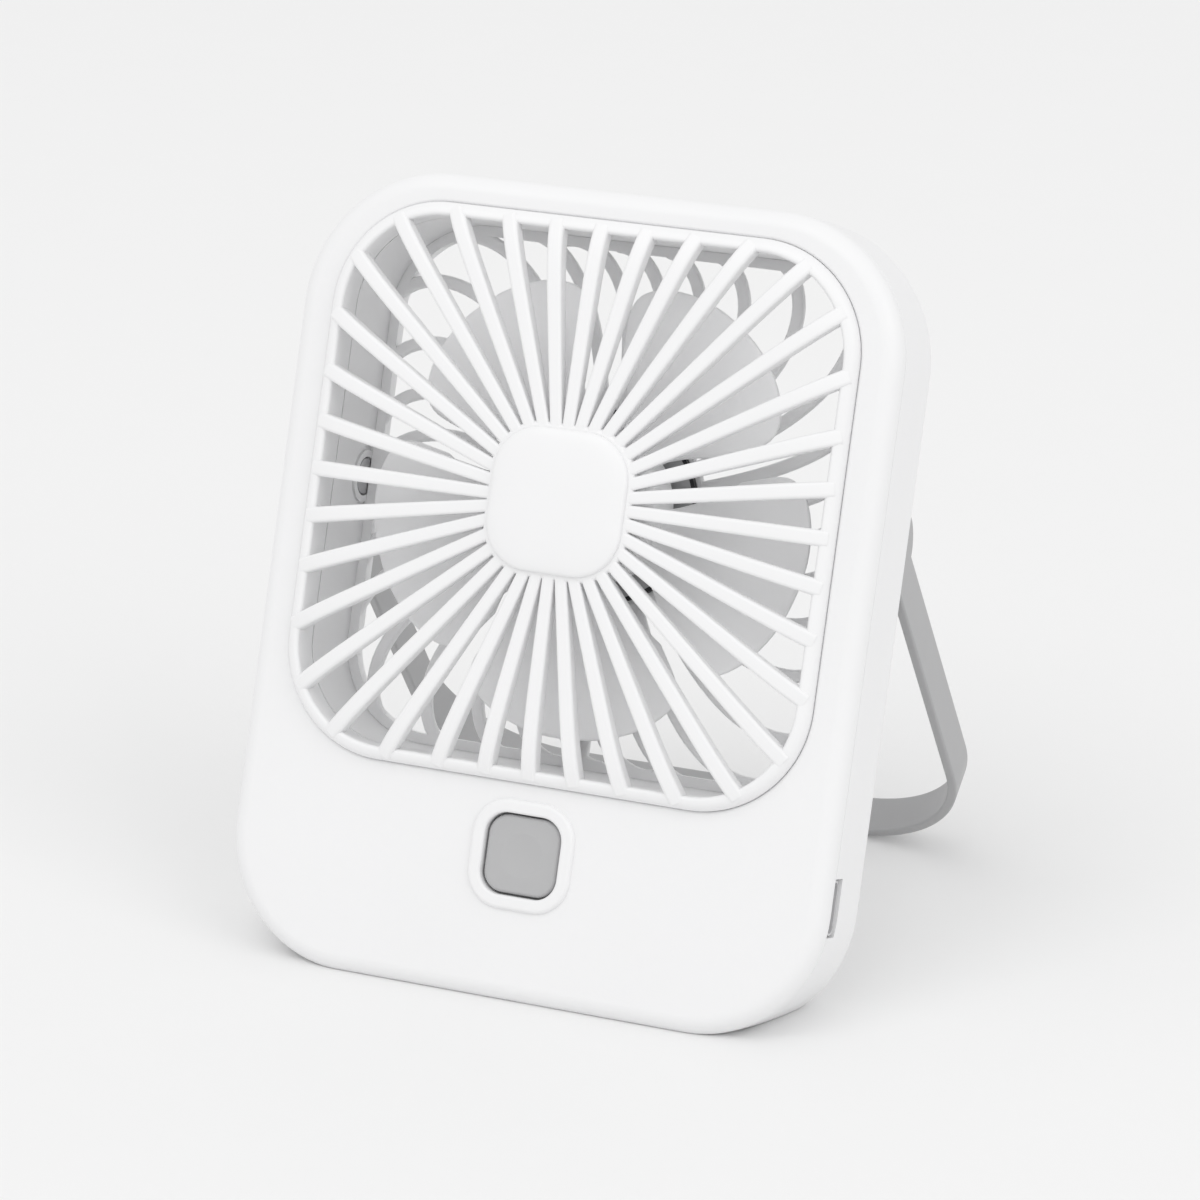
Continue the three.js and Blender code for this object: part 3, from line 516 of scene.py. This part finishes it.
def ribs_tree():
    """Swept ribs from a hub to a rounded square, on a dome, with a swirl that grows outwards.

    The ribs lie in the tree's XY plane and rise along Z. Hook is the power of the swirl's growth.
    """
    tree = bpy.data.node_groups.new("ribs", "GeometryNodeTree")
    face = tree.interface
    face.new_socket("Geometry", in_out="OUTPUT", socket_type="NodeSocketGeometry")
    names = ["Inner", "Half", "Radius", "Rise", "Rim Rise", "Swirl", "Turn", "Width", "Depth"]
    names += ["Square Hub", "Spread", "Hook"]
    for name in names:
        face.new_socket(name, in_out="INPUT", socket_type="NodeSocketFloat")
    face.new_socket("Count", in_out="INPUT", socket_type="NodeSocketInt")
    face.new_socket("Finish", in_out="INPUT", socket_type="NodeSocketMaterial")
    nodes = Nodes(tree)
    given = nodes.add("NodeGroupInput").outputs
    size = {name: nodes.value(given[name]) for name in names + ["Count"]}

    line = nodes.add("GeometryNodeCurvePrimitiveLine", End=(1, 0, 0)).outputs[0]
    even = nodes.add("GeometryNodeResampleCurve", Curve=line, Count=RIB_POINTS).outputs[0]
    copies = nodes.add(
        "GeometryNodeDuplicateElements", {"domain": "SPLINE"}, Geometry=even, Amount=size["Count"]
    )
    share = nodes.value(nodes.add("GeometryNodeSplineParameter").outputs["Factor"])
    # The copy's number is kept on each spline before the points move.
    stored = nodes.add(
        "GeometryNodeStoreNamedAttribute",
        {"data_type": "FLOAT", "domain": "CURVE"},
        Geometry=copies.outputs[0],
        Name="number",
        Value=copies.outputs["Duplicate Index"],
    ).outputs[0]
    number = nodes.value(
        nodes.add("GeometryNodeInputNamedAttribute", {"data_type": "FLOAT"}, Name="number").outputs[0]
    )
    start = (number + size["Turn"]) * (2 * math.pi) / size["Count"]
    end = start + size["Swirl"]
    angle = start + size["Swirl"] * share ** size["Hook"]

    def reach(half, radius, direction):
        c = direction.math("COSINE").math("ABSOLUTE")
        s = direction.math("SINE").math("ABSOLUTE")
        straight = half / c.math("MAXIMUM", s)
        inner = half - radius
        flat = (straight * c.math("MINIMUM", s)).math("LESS_THAN", inner)
        along = inner * (c + s)
        under_root = along * along - 2 * inner * inner + radius * radius
        return flat * straight + (1 - flat) * (along + under_root.math("MAXIMUM", 0.0).math("SQRT"))

    hub = reach(size["Inner"], size["Inner"] * (HUB_RADIUS / HUB_HALF), start)
    inner = size["Square Hub"] * hub + (1 - size["Square Hub"]) * size["Inner"] - RIB_INTO_HUB
    outer = reach(size["Half"], size["Radius"], end)
    # Points crowd towards the rim, where the dome bends.
    eased = 1 - (1 - share) ** RIB_CROWDING
    r = inner + (outer - inner) * eased
    inward = 1 - eased
    dome = DOME_SHOULDER * (1 - (1 - inward) ** DOME_BEND) + (1 - DOME_SHOULDER) * inward
    swell = 1 + size["Spread"] * eased
    rise = size["Rim Rise"] + (size["Rise"] - size["Rim Rise"]) * dome - size["Depth"] * 0.5 * swell
    place = nodes.add(
        "ShaderNodeCombineXYZ",
        X=r * angle.math("COSINE"),
        Y=r * angle.math("SINE"),
        Z=rise,
    ).outputs[0]
    laid = nodes.add("GeometryNodeSetPosition", Geometry=stored, Position=place).outputs[0]
    broader = nodes.add("GeometryNodeSetCurveRadius", Curve=laid, Radius=swell).outputs[0]
    upright = nodes.add("GeometryNodeSetCurveNormal", {"mode": "Z_UP"}, Curve=broader).outputs[0]
    section = nodes.add(
        "GeometryNodeCurvePrimitiveQuadrilateral",
        {"mode": "RECTANGLE"},
        Width=size["Width"],
        Height=size["Depth"],
    ).outputs[0]
    softened = nodes.add(
        "GeometryNodeFilletCurve", {"mode": "POLY"}, Curve=section, _1=4, Radius=size["Width"] * RIB_EDGE
    )
    to_mesh = nodes.add(
        "GeometryNodeCurveToMesh", Curve=upright, Profile_Curve=softened.outputs[0], Fill_Caps=True
    )
    if "Scale" in to_mesh.inputs:  # there the points' radius is not read by itself
        tree.links.new(nodes.add("GeometryNodeInputRadius").outputs[0], to_mesh.inputs["Scale"])
    swept = to_mesh.outputs[0]
    whole = nodes.add("GeometryNodeRealizeInstances", Geometry=swept).outputs[0]
    coated = nodes.add("GeometryNodeSetMaterial", Geometry=whole, Material=given["Finish"]).outputs[0]
    nodes.add("NodeGroupOutput", Geometry=coated)
    return tree


RIBS_TREE = ribs_tree()


def ribs(material, **sizes):
    """The ribs as a plain mesh in the housing's frame, standing forward of the panel."""
    made = bpy.data.objects.new("ribs", bpy.data.meshes.new("ribs"))
    bpy.context.scene.collection.objects.link(made)
    step = made.modifiers.new("ribs", "NODES")
    step.node_group = RIBS_TREE
    sizes["Finish"] = material
    for item in RIBS_TREE.interface.items_tree:
        if item.in_out == "INPUT":
            step[item.identifier] = sizes[item.name.replace(" ", "_")]
    evaluated(made)
    bm = bmesh.new()
    bm.from_mesh(made.data)
    bmesh.ops.remove_doubles(bm, verts=bm.verts, dist=1e-4)
    bm.to_mesh(made.data)
    bm.free()
    return moved(made, Matrix.Rotation(math.pi / 2, 4, "X"))


# ---- materials -------------------------------------------------------------------------------


def plastic(name, color, roughness, grain=0.06, grain_scale=2600, mottle=0.012):
    """Moulded plastic: a fine spark-eroded grain, faint mottling, and a little wear in the gloss."""
    made = bpy.data.materials.new(name)
    made.use_nodes = True
    made.node_tree.nodes.clear()
    nodes = Nodes(made.node_tree)
    where = nodes.add("ShaderNodeTexCoord").outputs["Object"]
    fine = nodes.add("ShaderNodeTexNoise", Vector=where, Scale=grain_scale, Detail=3.0, Roughness=0.6)
    broad = nodes.add("ShaderNodeTexNoise", Vector=where, Scale=38.0, Detail=2.0)
    scuffs = nodes.add("ShaderNodeTexNoise", Vector=where, Scale=210.0, Detail=4.0, Roughness=0.7)
    shift = (nodes.value(broad.outputs[0]) - 0.5) * (2 * mottle) + 1.0
    tint = nodes.add(
        "ShaderNodeVectorMath", {"operation": "SCALE"}, _0=tuple(color), Scale=shift
    ).outputs[0]
    rough = nodes.value(scuffs.outputs[0]) * 0.12 + (roughness - 0.06)
    bump = nodes.add(
        "ShaderNodeBump", Height=fine.outputs[0], Strength=grain, Distance=0.0001
    ).outputs[0]
    shader = nodes.add("ShaderNodeBsdfPrincipled", Base_Color=tint, Roughness=rough, Normal=bump)
    shader.inputs["Specular IOR Level"].default_value = 0.4
    nodes.add("ShaderNodeOutputMaterial", Surface=shader.outputs[0])
    return made


def motor_plate(name, face_color, shade_color, shade_radius):
    """Moulded plastic with painted shade: dark beyond a radius from the fan's axis, in metres, standing in
    for the shadow in the gap round the plate.
    """
    made = plastic(name, face_color, 0.5)
    nodes = Nodes(made.node_tree)
    shader = next(n for n in made.node_tree.nodes if n.type == "BSDF_PRINCIPLED")
    where = nodes.add("ShaderNodeTexCoord").outputs["Object"]
    arm = nodes.add("ShaderNodeVectorMath", {"operation": "SUBTRACT"}, _0=where, _1=spin["pos_m"]).outputs[0]
    across = nodes.add(
        "ShaderNodeVectorMath", {"operation": "CROSS_PRODUCT"}, _0=arm, _1=spin["axis"]
    ).outputs[0]
    length = nodes.add("ShaderNodeVectorMath", {"operation": "LENGTH"}, _0=across).outputs["Value"]
    # painted shade: beyond this radius the colour turns dark for the shadow in the gap round the plate's rim
    outside = nodes.value(length).math("GREATER_THAN", shade_radius)
    face = shader.inputs["Base Color"].links[0].from_socket
    mixed = nodes.add("ShaderNodeMix", {"data_type": "RGBA"}, _0=outside, _6=face, _7=(*shade_color, 1))
    made.node_tree.links.new(mixed.outputs[2], shader.inputs["Base Color"])
    return made


def metal(name, color, roughness, scale=(30, 900, 30)):
    """Plated or turned metal with fine directional scratches."""
    made = bpy.data.materials.new(name)
    made.use_nodes = True
    made.node_tree.nodes.clear()
    nodes = Nodes(made.node_tree)
    where = nodes.add("ShaderNodeTexCoord").outputs["Object"]
    stretched = nodes.add("ShaderNodeMapping", Vector=where, Scale=scale).outputs[0]
    scratch = nodes.add("ShaderNodeTexNoise", Vector=stretched, Scale=40.0, Detail=4.0, Roughness=0.65)
    stain = nodes.add("ShaderNodeTexNoise", Vector=where, Scale=160.0, Detail=3.0)
    tone = (nodes.value(stain.outputs[0]) - 0.5) * 0.24 + 1.0
    tint = nodes.add("ShaderNodeVectorMath", {"operation": "SCALE"}, _0=tuple(color), Scale=tone).outputs[0]
    rough = nodes.value(scratch.outputs[0]) * 0.2 + (roughness - 0.1)
    bump = nodes.add("ShaderNodeBump", Height=scratch.outputs[0], Strength=0.15, Distance=0.0001)
    shader = nodes.add(
        "ShaderNodeBsdfPrincipled", Base_Color=tint, Roughness=rough, Normal=bump.outputs[0]
    )
    shader.inputs["Metallic"].default_value = 1.0
    nodes.add("ShaderNodeOutputMaterial", Surface=shader.outputs[0])
    return made


WHITE = plastic("white_shell", (0.85, 0.85, 0.855), 0.42)
GRILLE_WHITE = plastic("white_grille", (0.86, 0.86, 0.865), 0.38, grain=0.04)
GREY = plastic("grey_stand", (0.42, 0.42, 0.425), 0.45, mottle=0.03)
BUTTON_GREY = plastic("grey_button", (0.455, 0.455, 0.46), 0.5, mottle=0.02)
BLADE = plastic("blade_plastic", (0.95, 0.95, 0.955), 0.3, grain=0.02, mottle=0.02)
DARK = plastic("dark_plastic", (0.10, 0.10, 0.105), 0.5, mottle=0.08)
# the motor plate's dark rim is painted shade, not a colour of the part
PLATE = motor_plate("motor_plate", (0.42, 0.42, 0.43), (0.02, 0.02, 0.022), PLATE_SHADE_RADIUS)
MAGNET = plastic("bonded_magnet", (0.035, 0.035, 0.038), 0.65, grain=0.2, mottle=0.2)
BOARD = plastic("solder_mask", (0.02, 0.13, 0.06), 0.35, grain=0.08, grain_scale=900, mottle=0.2)
SLEEVE = plastic("red_sleeve", (0.5, 0.05, 0.04), 0.45, mottle=0.1)
DARK_SLEEVE = plastic("grey_sleeve", (0.16, 0.16, 0.165), 0.45, mottle=0.1)
SOCKET = plastic("nickel_socket", (0.6, 0.6, 0.61), 0.35, grain=0.03, mottle=0.04)
STEEL = metal("plated_steel", (0.55, 0.55, 0.56), 0.35)
BRONZE = metal("sintered_bronze", (0.48, 0.3, 0.14), 0.5)
COPPER = metal("enamelled_copper", (0.62, 0.24, 0.1), 0.35, (30, 900, 900))
FOIL = metal("laminated_foil", (0.62, 0.63, 0.65), 0.4, (200, 200, 200))

CAD_FINISH = {
    SOCKET: ["usb_c_socket"],
    STEEL: ["rotor_cup", "motor_shaft", "pivot_pin_left", "pivot_pin_right",
            "friction_washer_left", "friction_washer_right", "shell_screw_upper_left",
            "shell_screw_upper_right", "shell_screw_lower_left", "shell_screw_lower_right"],
    BRONZE: ["bearing_bush"],
    COPPER: ["stator_core"],
    MAGNET: ["magnet_ring"],
    PLATE: ["motor_base"],
    DARK: ["tact_switch", "switch_plunger"],
    BOARD: ["main_board"],
    FOIL: ["battery_cell"],
    DARK_SLEEVE: ["motor_lead"],
    SLEEVE: ["battery_lead"],
}
for finish, names in CAD_FINISH.items():
    for node_name in names:
        for material_slot in frame["nodes"][node_name].material_slots:
            material_slot.material = finish


# ---- the housing -----------------------------------------------------------------------------


def flare(outline, radius, front=0.0, back=12.0, lead=5.0, steps=8):
    """A hole's cutter whose mouth, at the given front, opens out in a quarter round."""
    levels = [(front - lead, -radius)]
    for i in range(steps + 1):
        a = i / steps * math.pi / 2
        levels.append((front + radius * (1 - math.cos(a)), -radius * (1 - math.sin(a))))
    levels.append((back, 0))
    return stack(outline, levels)


def front_shell():
    lid = slab(housing, 0, SEAM, FRONT_ROUND, 0, 14)
    hollow = slab(lambda inset: housing(inset + WALL), WALL, SEAM + 5)
    lip = slab(square(GRILLE_OPENING + WALL, GRILLE_RADIUS + WALL), PANEL_LIP_FRONT, WALL)
    ring_half = BUTTON_HALF + BUTTON_SLACK + BUTTON_RING
    ring_radius = BUTTON_RADIUS + BUTTON_SLACK + BUTTON_RING
    bead_outline = square(ring_half, ring_radius, BUTTON_HEIGHT, COARSE)
    bead = slab(bead_outline, -RING_RISE, WALL, RING_RISE * 0.95, 0, 8)
    sockets = [rod(POST_RADIUS, POST_FRONT, POST_BACK, x, z) for x, z in POSTS]
    pilots = [rod(SCREW_HOLE, POST_FRONT + 3, POST_BACK + 1, x, z) for x, z in POSTS]
    opening = flare(square(GRILLE_OPENING, GRILLE_RADIUS + GROOVE), OPENING_FLARE)
    hole_outline = square(BUTTON_HALF + BUTTON_SLACK, BUTTON_RADIUS + BUTTON_SLACK, BUTTON_HEIGHT, COARSE)
    hole = flare(hole_outline, BUTTON_HOLE_FLARE, -RING_RISE)
    shell = combined(lid, [], [hollow])
    return combined(shell, [lip, bead, *sockets], [*pilots, opening, hole, below_base()])


def at_pivot(radius, x0, x1):
    return cross_rod(radius, x0, x1, PIVOT_DEPTH, PIVOT_HEIGHT)


def rear_shell():
    slot_front = -STAND_WIDTH / 2 - GAP
    reach = KNUCKLE_RADIUS + GAP
    wall_reach = reach + SLOT_WALL
    slot_wall = slab(lambda inset: stand_loop(inset - GAP - SLOT_WALL), slot_front - SLOT_WALL, DEPTH)
    lead_hole, lead_length = LEAD_HOLE
    lead_place = Matrix.Translation((0, REAR_FRONT - LEAD_DEPTH, -DUCT_HALF + lead_length / 2))
    outside = slab(housing, REAR_START, DEPTH, REAR_EDGE, BACK_ROUND, 14)
    hollow = combined(
        slab(lambda inset: housing(inset + WALL), 0, DEPTH - WALL),
        [],
        [
            slab(square(DUCT_HALF + DUCT_WALL, DUCT_RADIUS + DUCT_WALL), -1, DEPTH + 1),
            moved(slot_wall, CLOSED_STAND),
            moved(below_base(), Matrix.Translation((0, 0, WALL / math.cos(LEAN)))),
            *[at_pivot(BOSS_RADIUS, s * (DUCT_HALF + JOIN), s * (SLOT_INNER + JOIN)) for s in (-1, 1)],
            *[at_pivot(wall_reach, s * (SLOT_INNER - SLOT_WALL), s * (SLOT_OUTER + 1)) for s in (-1, 1)],
            *[rod(SCREW_BOSS, SCREW_SEAT - SCREW_FLOOR, DEPTH, x, z) for x, z in POSTS],
        ],
    )
    cutters = [
        hollow,
        slab(square(DUCT_HALF, DUCT_RADIUS), 0, DEPTH - DUCT_LIP),
        flare(square(DUCT_HALF - LIP_REACH, DUCT_RADIUS - LIP_REACH), 0.01, 0, DEPTH + 1),
        moved(slab(lambda inset: stand_loop(inset - GAP), slot_front, DEPTH + 5), CLOSED_STAND),
        below_base(),
        block(
            HALF_WIDTH - 5, HALF_WIDTH + 1, REAR_START - 1, REAR_START + SOCKET_MOUTH,
            SOCKET_HEIGHT - SOCKET_LENGTH / 2, SOCKET_HEIGHT + SOCKET_LENGTH / 2,
        ),
        moved(rod(lead_hole, 0, lead_length), lead_place @ Matrix.Rotation(-math.pi / 2, 4, "X")),
    ]
    ring_start, ring_end, ring_depth = PIN_RING
    near, far = PIN_HOLE
    for side in (-1, 1):
        low, high = sorted((side * SLOT_INNER, side * SLOT_OUTER))
        cutters += [
            at_pivot(reach, low, high),
            block(low, high, PIVOT_DEPTH, DEPTH + 5, PIVOT_HEIGHT - reach, PIVOT_HEIGHT + reach),
            at_pivot(PIN_RADIUS + PIN_SLACK, side * near, side * far),
            at_pivot(PIN_HEAD + GAP, side * near, side * (DUCT_HALF + PIN_HEAD_DEPTH)),
            at_pivot(WASHER_SEAT[0], side * (SLOT_INNER - WASHER_SEAT[1]), side * far),
        ]
        # The groove round the pin's head stops where the rear grille starts.
        groove = combined(
            at_pivot(PIN_HEAD + ring_end, side * (DUCT_HALF - 2), side * (DUCT_HALF + ring_depth)),
            [],
            [
                at_pivot(PIN_HEAD + ring_start, side * near, side * far),
                block(-HALF_WIDTH, HALF_WIDTH, REAR_FRONT, 2 * DEPTH, -20, 20),
            ],
        )
        cutters.append(groove)
    for x, z in POSTS:
        cutters += [
            rod(SCREW_HOLE, REAR_START, DEPTH + 1, x, z),
            rod(SCREW_HEAD_HOLE, SCREW_SEAT, DEPTH + 1, x, z),
            rod(POST_RADIUS + GAP, 0, POST_BACK + GAP, x, z),
        ]
    return combined(outside, [], cutters)


placed(front_shell(), "front_shell_finished", WHITE, "front_shell")
placed(rear_shell(), "rear_shell_finished", WHITE, "rear_shell")


# ---- grilles ---------------------------------------------------------------------------------


def front_grille():
    rim = slab(square(GRILLE_HALF, GRILLE_RADIUS), -RIM_RISE, SEAM, RIM_ROUND, 0, 10)
    flange = slab(square(GRILLE_HALF + FLANGE, GRILLE_RADIUS + FLANGE), *FLANGE_DEPTHS)
    notches = [rod(POST_RADIUS + GAP, 0.5, 10, x, z) for x, z in POSTS]
    frame_hole = flare(square(DUCT_HALF, DUCT_RADIUS), RIM_FLARE, -RIM_RISE)
    ring = combined(rim, [flange], [frame_hole, *notches])
    hub_back = -DOME_RISE + HUB_THICKNESS
    hub = slab(square(HUB_HALF, HUB_RADIUS), -DOME_RISE - SUNK, hub_back, *HUB_ROUNDS, 6)
    hub = combined(hub, [], [rod(PEG_RADIUS + GAP, -DOME_RISE - 1, 0)])
    bars = ribs(
        GRILLE_WHITE,
        Inner=HUB_HALF,
        Half=DUCT_HALF + RIB_INTO_RIM,
        Radius=DUCT_RADIUS + RIB_INTO_RIM,
        Rise=DOME_RISE,
        Rim_Rise=RIM_RISE,
        Swirl=0.0,
        Turn=0.0,
        Width=RIB_WIDTH,
        Depth=RIB_DEPTH,
        Count=RIBS,
        Square_Hub=1.0,
        Spread=RIB_SPREAD,
        Hook=1.0,
    )
    return merged(ring, hub, bars)


def grille_cap():
    """A soft pillow with a peg into the hub."""
    back = -DOME_RISE - CAP_SEAT
    steps = 20
    levels = []
    for i in range(1, steps + 1):
        a = i / steps * math.pi / 2
        inset = CAP_SPREAD * CAP_HALF * (1 - math.sin(a)) ** CAP_SHOULDER
        levels.append((back - CAP_RISE * math.cos(a) ** CAP_CROWN, inset))
    levels.append((back, 0))

    def pillow(inset):
        half = CAP_HALF - inset
        corner = min(CAP_RADIUS, half * CAP_CORNER)
        return rounded(-half, half, -half, half, corner, corner)

    cap = stack(pillow, levels)
    return merged(cap, rod(PEG_RADIUS, -DOME_RISE - 0.8, -DOME_RISE + HUB_THICKNESS))


def rear_grille():
    half = DUCT_HALF - REAR_SLACK
    radius = DUCT_RADIUS - REAR_SLACK
    ring = combined(
        slab(square(half, radius), REAR_FRONT, GRILLE_BACK, 0, 0.2, 3),
        [],
        [slab(square(half - REAR_FRAME, radius - REAR_FRAME), 0, 2 * DEPTH)],
    )
    front_bevel, back_bevel = PLATE_ROUNDS
    plate = turned(
        [
            (0, REAR_FRONT),
            (PLATE_RADIUS - front_bevel, REAR_FRONT),
            (PLATE_RADIUS, REAR_FRONT + front_bevel),
            (PLATE_RADIUS, GRILLE_BACK - back_bevel),
            (PLATE_RADIUS - back_bevel, GRILLE_BACK),
            (0, GRILLE_BACK),
        ],
        steps=LARGE_ROUND,
    )

    def spoke_outline(inset):
        side = SPOKE_HALF - inset
        low = -half + REAR_FRAME - SPOKE_INTO_FRAME
        return [(-side, low), (side, low), (side, -1), (-side, -1)]

    spoke = slab(spoke_outline, REAR_FRONT + 2 * SUNK, GRILLE_BACK - 2 * SUNK, 0.2, 0.2, 3)
    bars = ribs(
        WHITE,
        Inner=PLATE_RADIUS,
        Half=half - REAR_RIB_INTO_FRAME,
        Radius=radius - REAR_RIB_INTO_FRAME,
        Rise=-REAR_FRONT - SUNK,
        Rim_Rise=-REAR_FRONT - SUNK,
        Swirl=REAR_SWIRL,
        Turn=0.5,
        Width=REAR_RIB_WIDTH,
        Depth=REAR_THICKNESS - 2 * SUNK,
        Count=REAR_RIBS,
        Square_Hub=0.0,
        Spread=0.0,
        Hook=2.0,
    )
    return merged(ring, plate, spoke, bars)


placed(front_grille(), "front_grille_finished", GRILLE_WHITE, "front_grille")
placed(grille_cap(), "grille_cap_finished", GRILLE_WHITE, "grille_cap", sharp=40)
placed(rear_grille(), "rear_grille_finished", WHITE, "rear_grille")


# ---- impeller --------------------------------------------------------------------------------


def blade(middle_angle):
    """A broad, pitched blade that thins to a round edge."""
    across = along = BLADE_STEPS
    side_power, tip_power = BLADE_EDGE_POWERS
    root = BLADE_HUB_RADIUS - 0.6 * BLADE_HUB_WALL
    rise = (BLADE_BACK - BLADE_FRONT - BLADE_THICKNESS) / 2
    middle = (BLADE_FRONT + BLADE_BACK) / 2

    def point(i, j, face):
        chord = math.sin((i / across - 0.5) * math.pi)
        share = math.sin(j / along * math.pi / 2)
        tip = max(0.0, (share - BLADE_TIP_START) / (1 - BLADE_TIP_START))
        round_off = math.sqrt(1 - BLADE_TIP_NARROWING * tip**BLADE_TIP_POWER)
        root_width = BLADE_ROOT_SPAN + (1 - BLADE_ROOT_SPAN) * min(1.0, share / 0.5)
        r = root + (TIP_RADIUS - root) * share
        angle = middle_angle + chord * BLADE_SPAN / 2 * round_off * root_width
        side_thinning = math.sqrt(max(0.0, 1 - abs(chord) ** side_power))
        edge = side_thinning * math.sqrt(max(0.0, 1 - share**tip_power))
        y = middle + rise * (1 - BLADE_PITCH_EASE * share) * chord * round_off * root_width
        y += face * BLADE_THICKNESS / 2 * edge
        return (r * math.cos(angle), y, r * math.sin(angle))

    bm = bmesh.new()
    sheets = []
    for face in (-1, 1):
        rows = [[bm.verts.new(point(i, j, face)) for j in range(along + 1)] for i in range(across + 1)]
        sheets.append(rows)
    for sheet in sheets:
        for i in range(across):
            for j in range(along):
                bm.faces.new((sheet[i][j], sheet[i + 1][j], sheet[i + 1][j + 1], sheet[i][j + 1]))
    front, back = sheets
    for i in range(across):
        bm.faces.new((front[i][0], front[i + 1][0], back[i + 1][0], back[i][0]))
    return new_object("blade", bm)


def impeller():
    edge = BLADE_HUB_EDGE
    profile = [(0, BLADE_FRONT)]
    for i in range(9):
        a = i / 8 * math.pi / 2
        r = BLADE_HUB_RADIUS - edge + edge * math.sin(a)
        profile.append((r, BLADE_FRONT + edge - edge * math.cos(a)))
    hub_inner = BLADE_HUB_RADIUS - BLADE_HUB_WALL
    inside = BLADE_FRONT + BLADE_HUB_FACE
    profile += [(BLADE_HUB_RADIUS, BLADE_BACK), (hub_inner, BLADE_BACK), (hub_inner, inside), (0, inside)]
    hub = turned(profile, steps=LARGE_ROUND)
    step = 2 * math.pi / BLADES
    return merged(hub, *[blade(FIRST_BLADE + i * step) for i in range(BLADES)])


placed(impeller(), "impeller_finished", BLADE, "impeller", body="rotor", sharp=50)


# ---- button and stand ------------------------------------------------------------------------


def power_button():
    """The key: a square with round corners and a shallow dish in its face."""
    outline = square(BUTTON_HALF, BUTTON_RADIUS, BUTTON_HEIGHT, COARSE)
    key = slab(outline, KEY_FRONT, KEY_FRONT + KEY_THICKNESS, KEY_EDGE, 0, 8)
    to_rim = DISH_SPHERE - DISH_DEPTH  # from the sphere's middle to the plane of the face
    bowl = [(0, KEY_FRONT + DISH_DEPTH)]
    for i in range(1, 13):
        a = i / 12 * math.acos(to_rim / DISH_SPHERE)
        bowl.append((DISH_SPHERE * math.sin(a), KEY_FRONT - to_rim + DISH_SPHERE * math.cos(a)))
    bowl += [(bowl[-1][0], KEY_FRONT - 3), (0, KEY_FRONT - 3)]
    key = combined(key, [], [turned(bowl, z=BUTTON_HEIGHT, steps=64)])
    flange_outline = square(BUTTON_HALF + KEY_FLANGE, BUTTON_RADIUS + KEY_FLANGE, BUTTON_HEIGHT, COARSE)
    flange = slab(flange_outline, *KEY_FLANGE_DEPTHS)
    neck_outline = square(BUTTON_HALF - 1, BUTTON_RADIUS - 1, BUTTON_HEIGHT, COARSE)
    neck = slab(neck_outline, 1, KEY_FLANGE_DEPTHS[1])
    stem = rod(STEM_RADIUS, 1, STEM_BACK, 0, BUTTON_HEIGHT)
    return merged(key, flange, neck, stem)


def stand():
    ribbon = slab(stand_loop, -STAND_WIDTH / 2, STAND_WIDTH / 2, STAND_EDGE, STAND_EDGE, 5)
    inner = STAND_OUTER - STAND_THICKNESS
    knuckles = [cross_rod(KNUCKLE_RADIUS, s * inner, s * STAND_OUTER, 0, 0, KNUCKLE_EDGE) for s in (-1, 1)]
    near, far = EYE_HOLE
    holes = [cross_rod(PIN_RADIUS + PIN_SLACK, s * near, s * far, 0, 0) for s in (-1, 1)]
    return combined(ribbon, knuckles, holes)


placed(power_button(), "power_button_finished", BUTTON_GREY, "power_button", body="button")
placed(stand(), "stand_finished", GREY, "stand", body="stand", matrix=OPEN_STAND)


# ---- floor, light and camera -------------------------------------------------------------------


def studio_floor():
    bm = bmesh.new()
    reach = 6.0
    corners = [(-reach, -reach), (reach, -reach), (reach, reach), (-reach, reach)]
    bm.faces.new([bm.verts.new((x, y, -0.0001)) for x, y in corners])
    made = new_object("studio_floor", bm)
    made.data.materials.append(plastic("paper_floor", (0.85, 0.85, 0.85), 0.9, grain=0.0, mottle=0.004))


def soft_light(name, place, target, size, power):
    light = bpy.data.lights.new(name, "AREA")
    light.shape = "DISK"
    light.size = size
    light.energy = power
    made = bpy.data.objects.new(name, light)
    bpy.context.scene.collection.objects.link(made)
    made.location = place
    made.rotation_euler = (Vector(target) - Vector(place)).to_track_quat("-Z", "Y").to_euler()


AIM = (0, 0, 0.06)
CAMERA_PLACE = (286.6, -709.8, 11.06)  # in the housing's frame, as is the point it looks at
CAMERA_AIM = (7.605, 0, -14.76)
LENS = 142.4
SENSOR = 36
KEY_PLACE = (-0.6, -2.3, 3.8)
FILL_PLACE = (2.6, -1.0, 2.2)
SKY_STRENGTH = 0.86

studio_floor()
soft_light("key", KEY_PLACE, AIM, size=3.2, power=35)
soft_light("fill", FILL_PLACE, AIM, size=2.6, power=17)

world = bpy.data.worlds.new("studio")
world.use_nodes = True
world.node_tree.nodes["Background"].inputs[0].default_value = (1, 1, 1, 1)
world.node_tree.nodes["Background"].inputs[1].default_value = SKY_STRENGTH
bpy.context.scene.world = world
bpy.context.scene.view_settings.view_transform = "Standard"

camera_data = bpy.data.cameras.new("camera")
camera_data.lens = LENS
camera_data.sensor_width = SENSOR
camera = bpy.data.objects.new("camera", camera_data)
bpy.context.scene.collection.objects.link(camera)
camera.location = HOUSING @ Vector(CAMERA_PLACE)
look_at = HOUSING @ Vector(CAMERA_AIM)
camera.rotation_euler = (look_at - camera.location).to_track_quat("-Z", "Y").to_euler()
bpy.context.scene.camera = camera
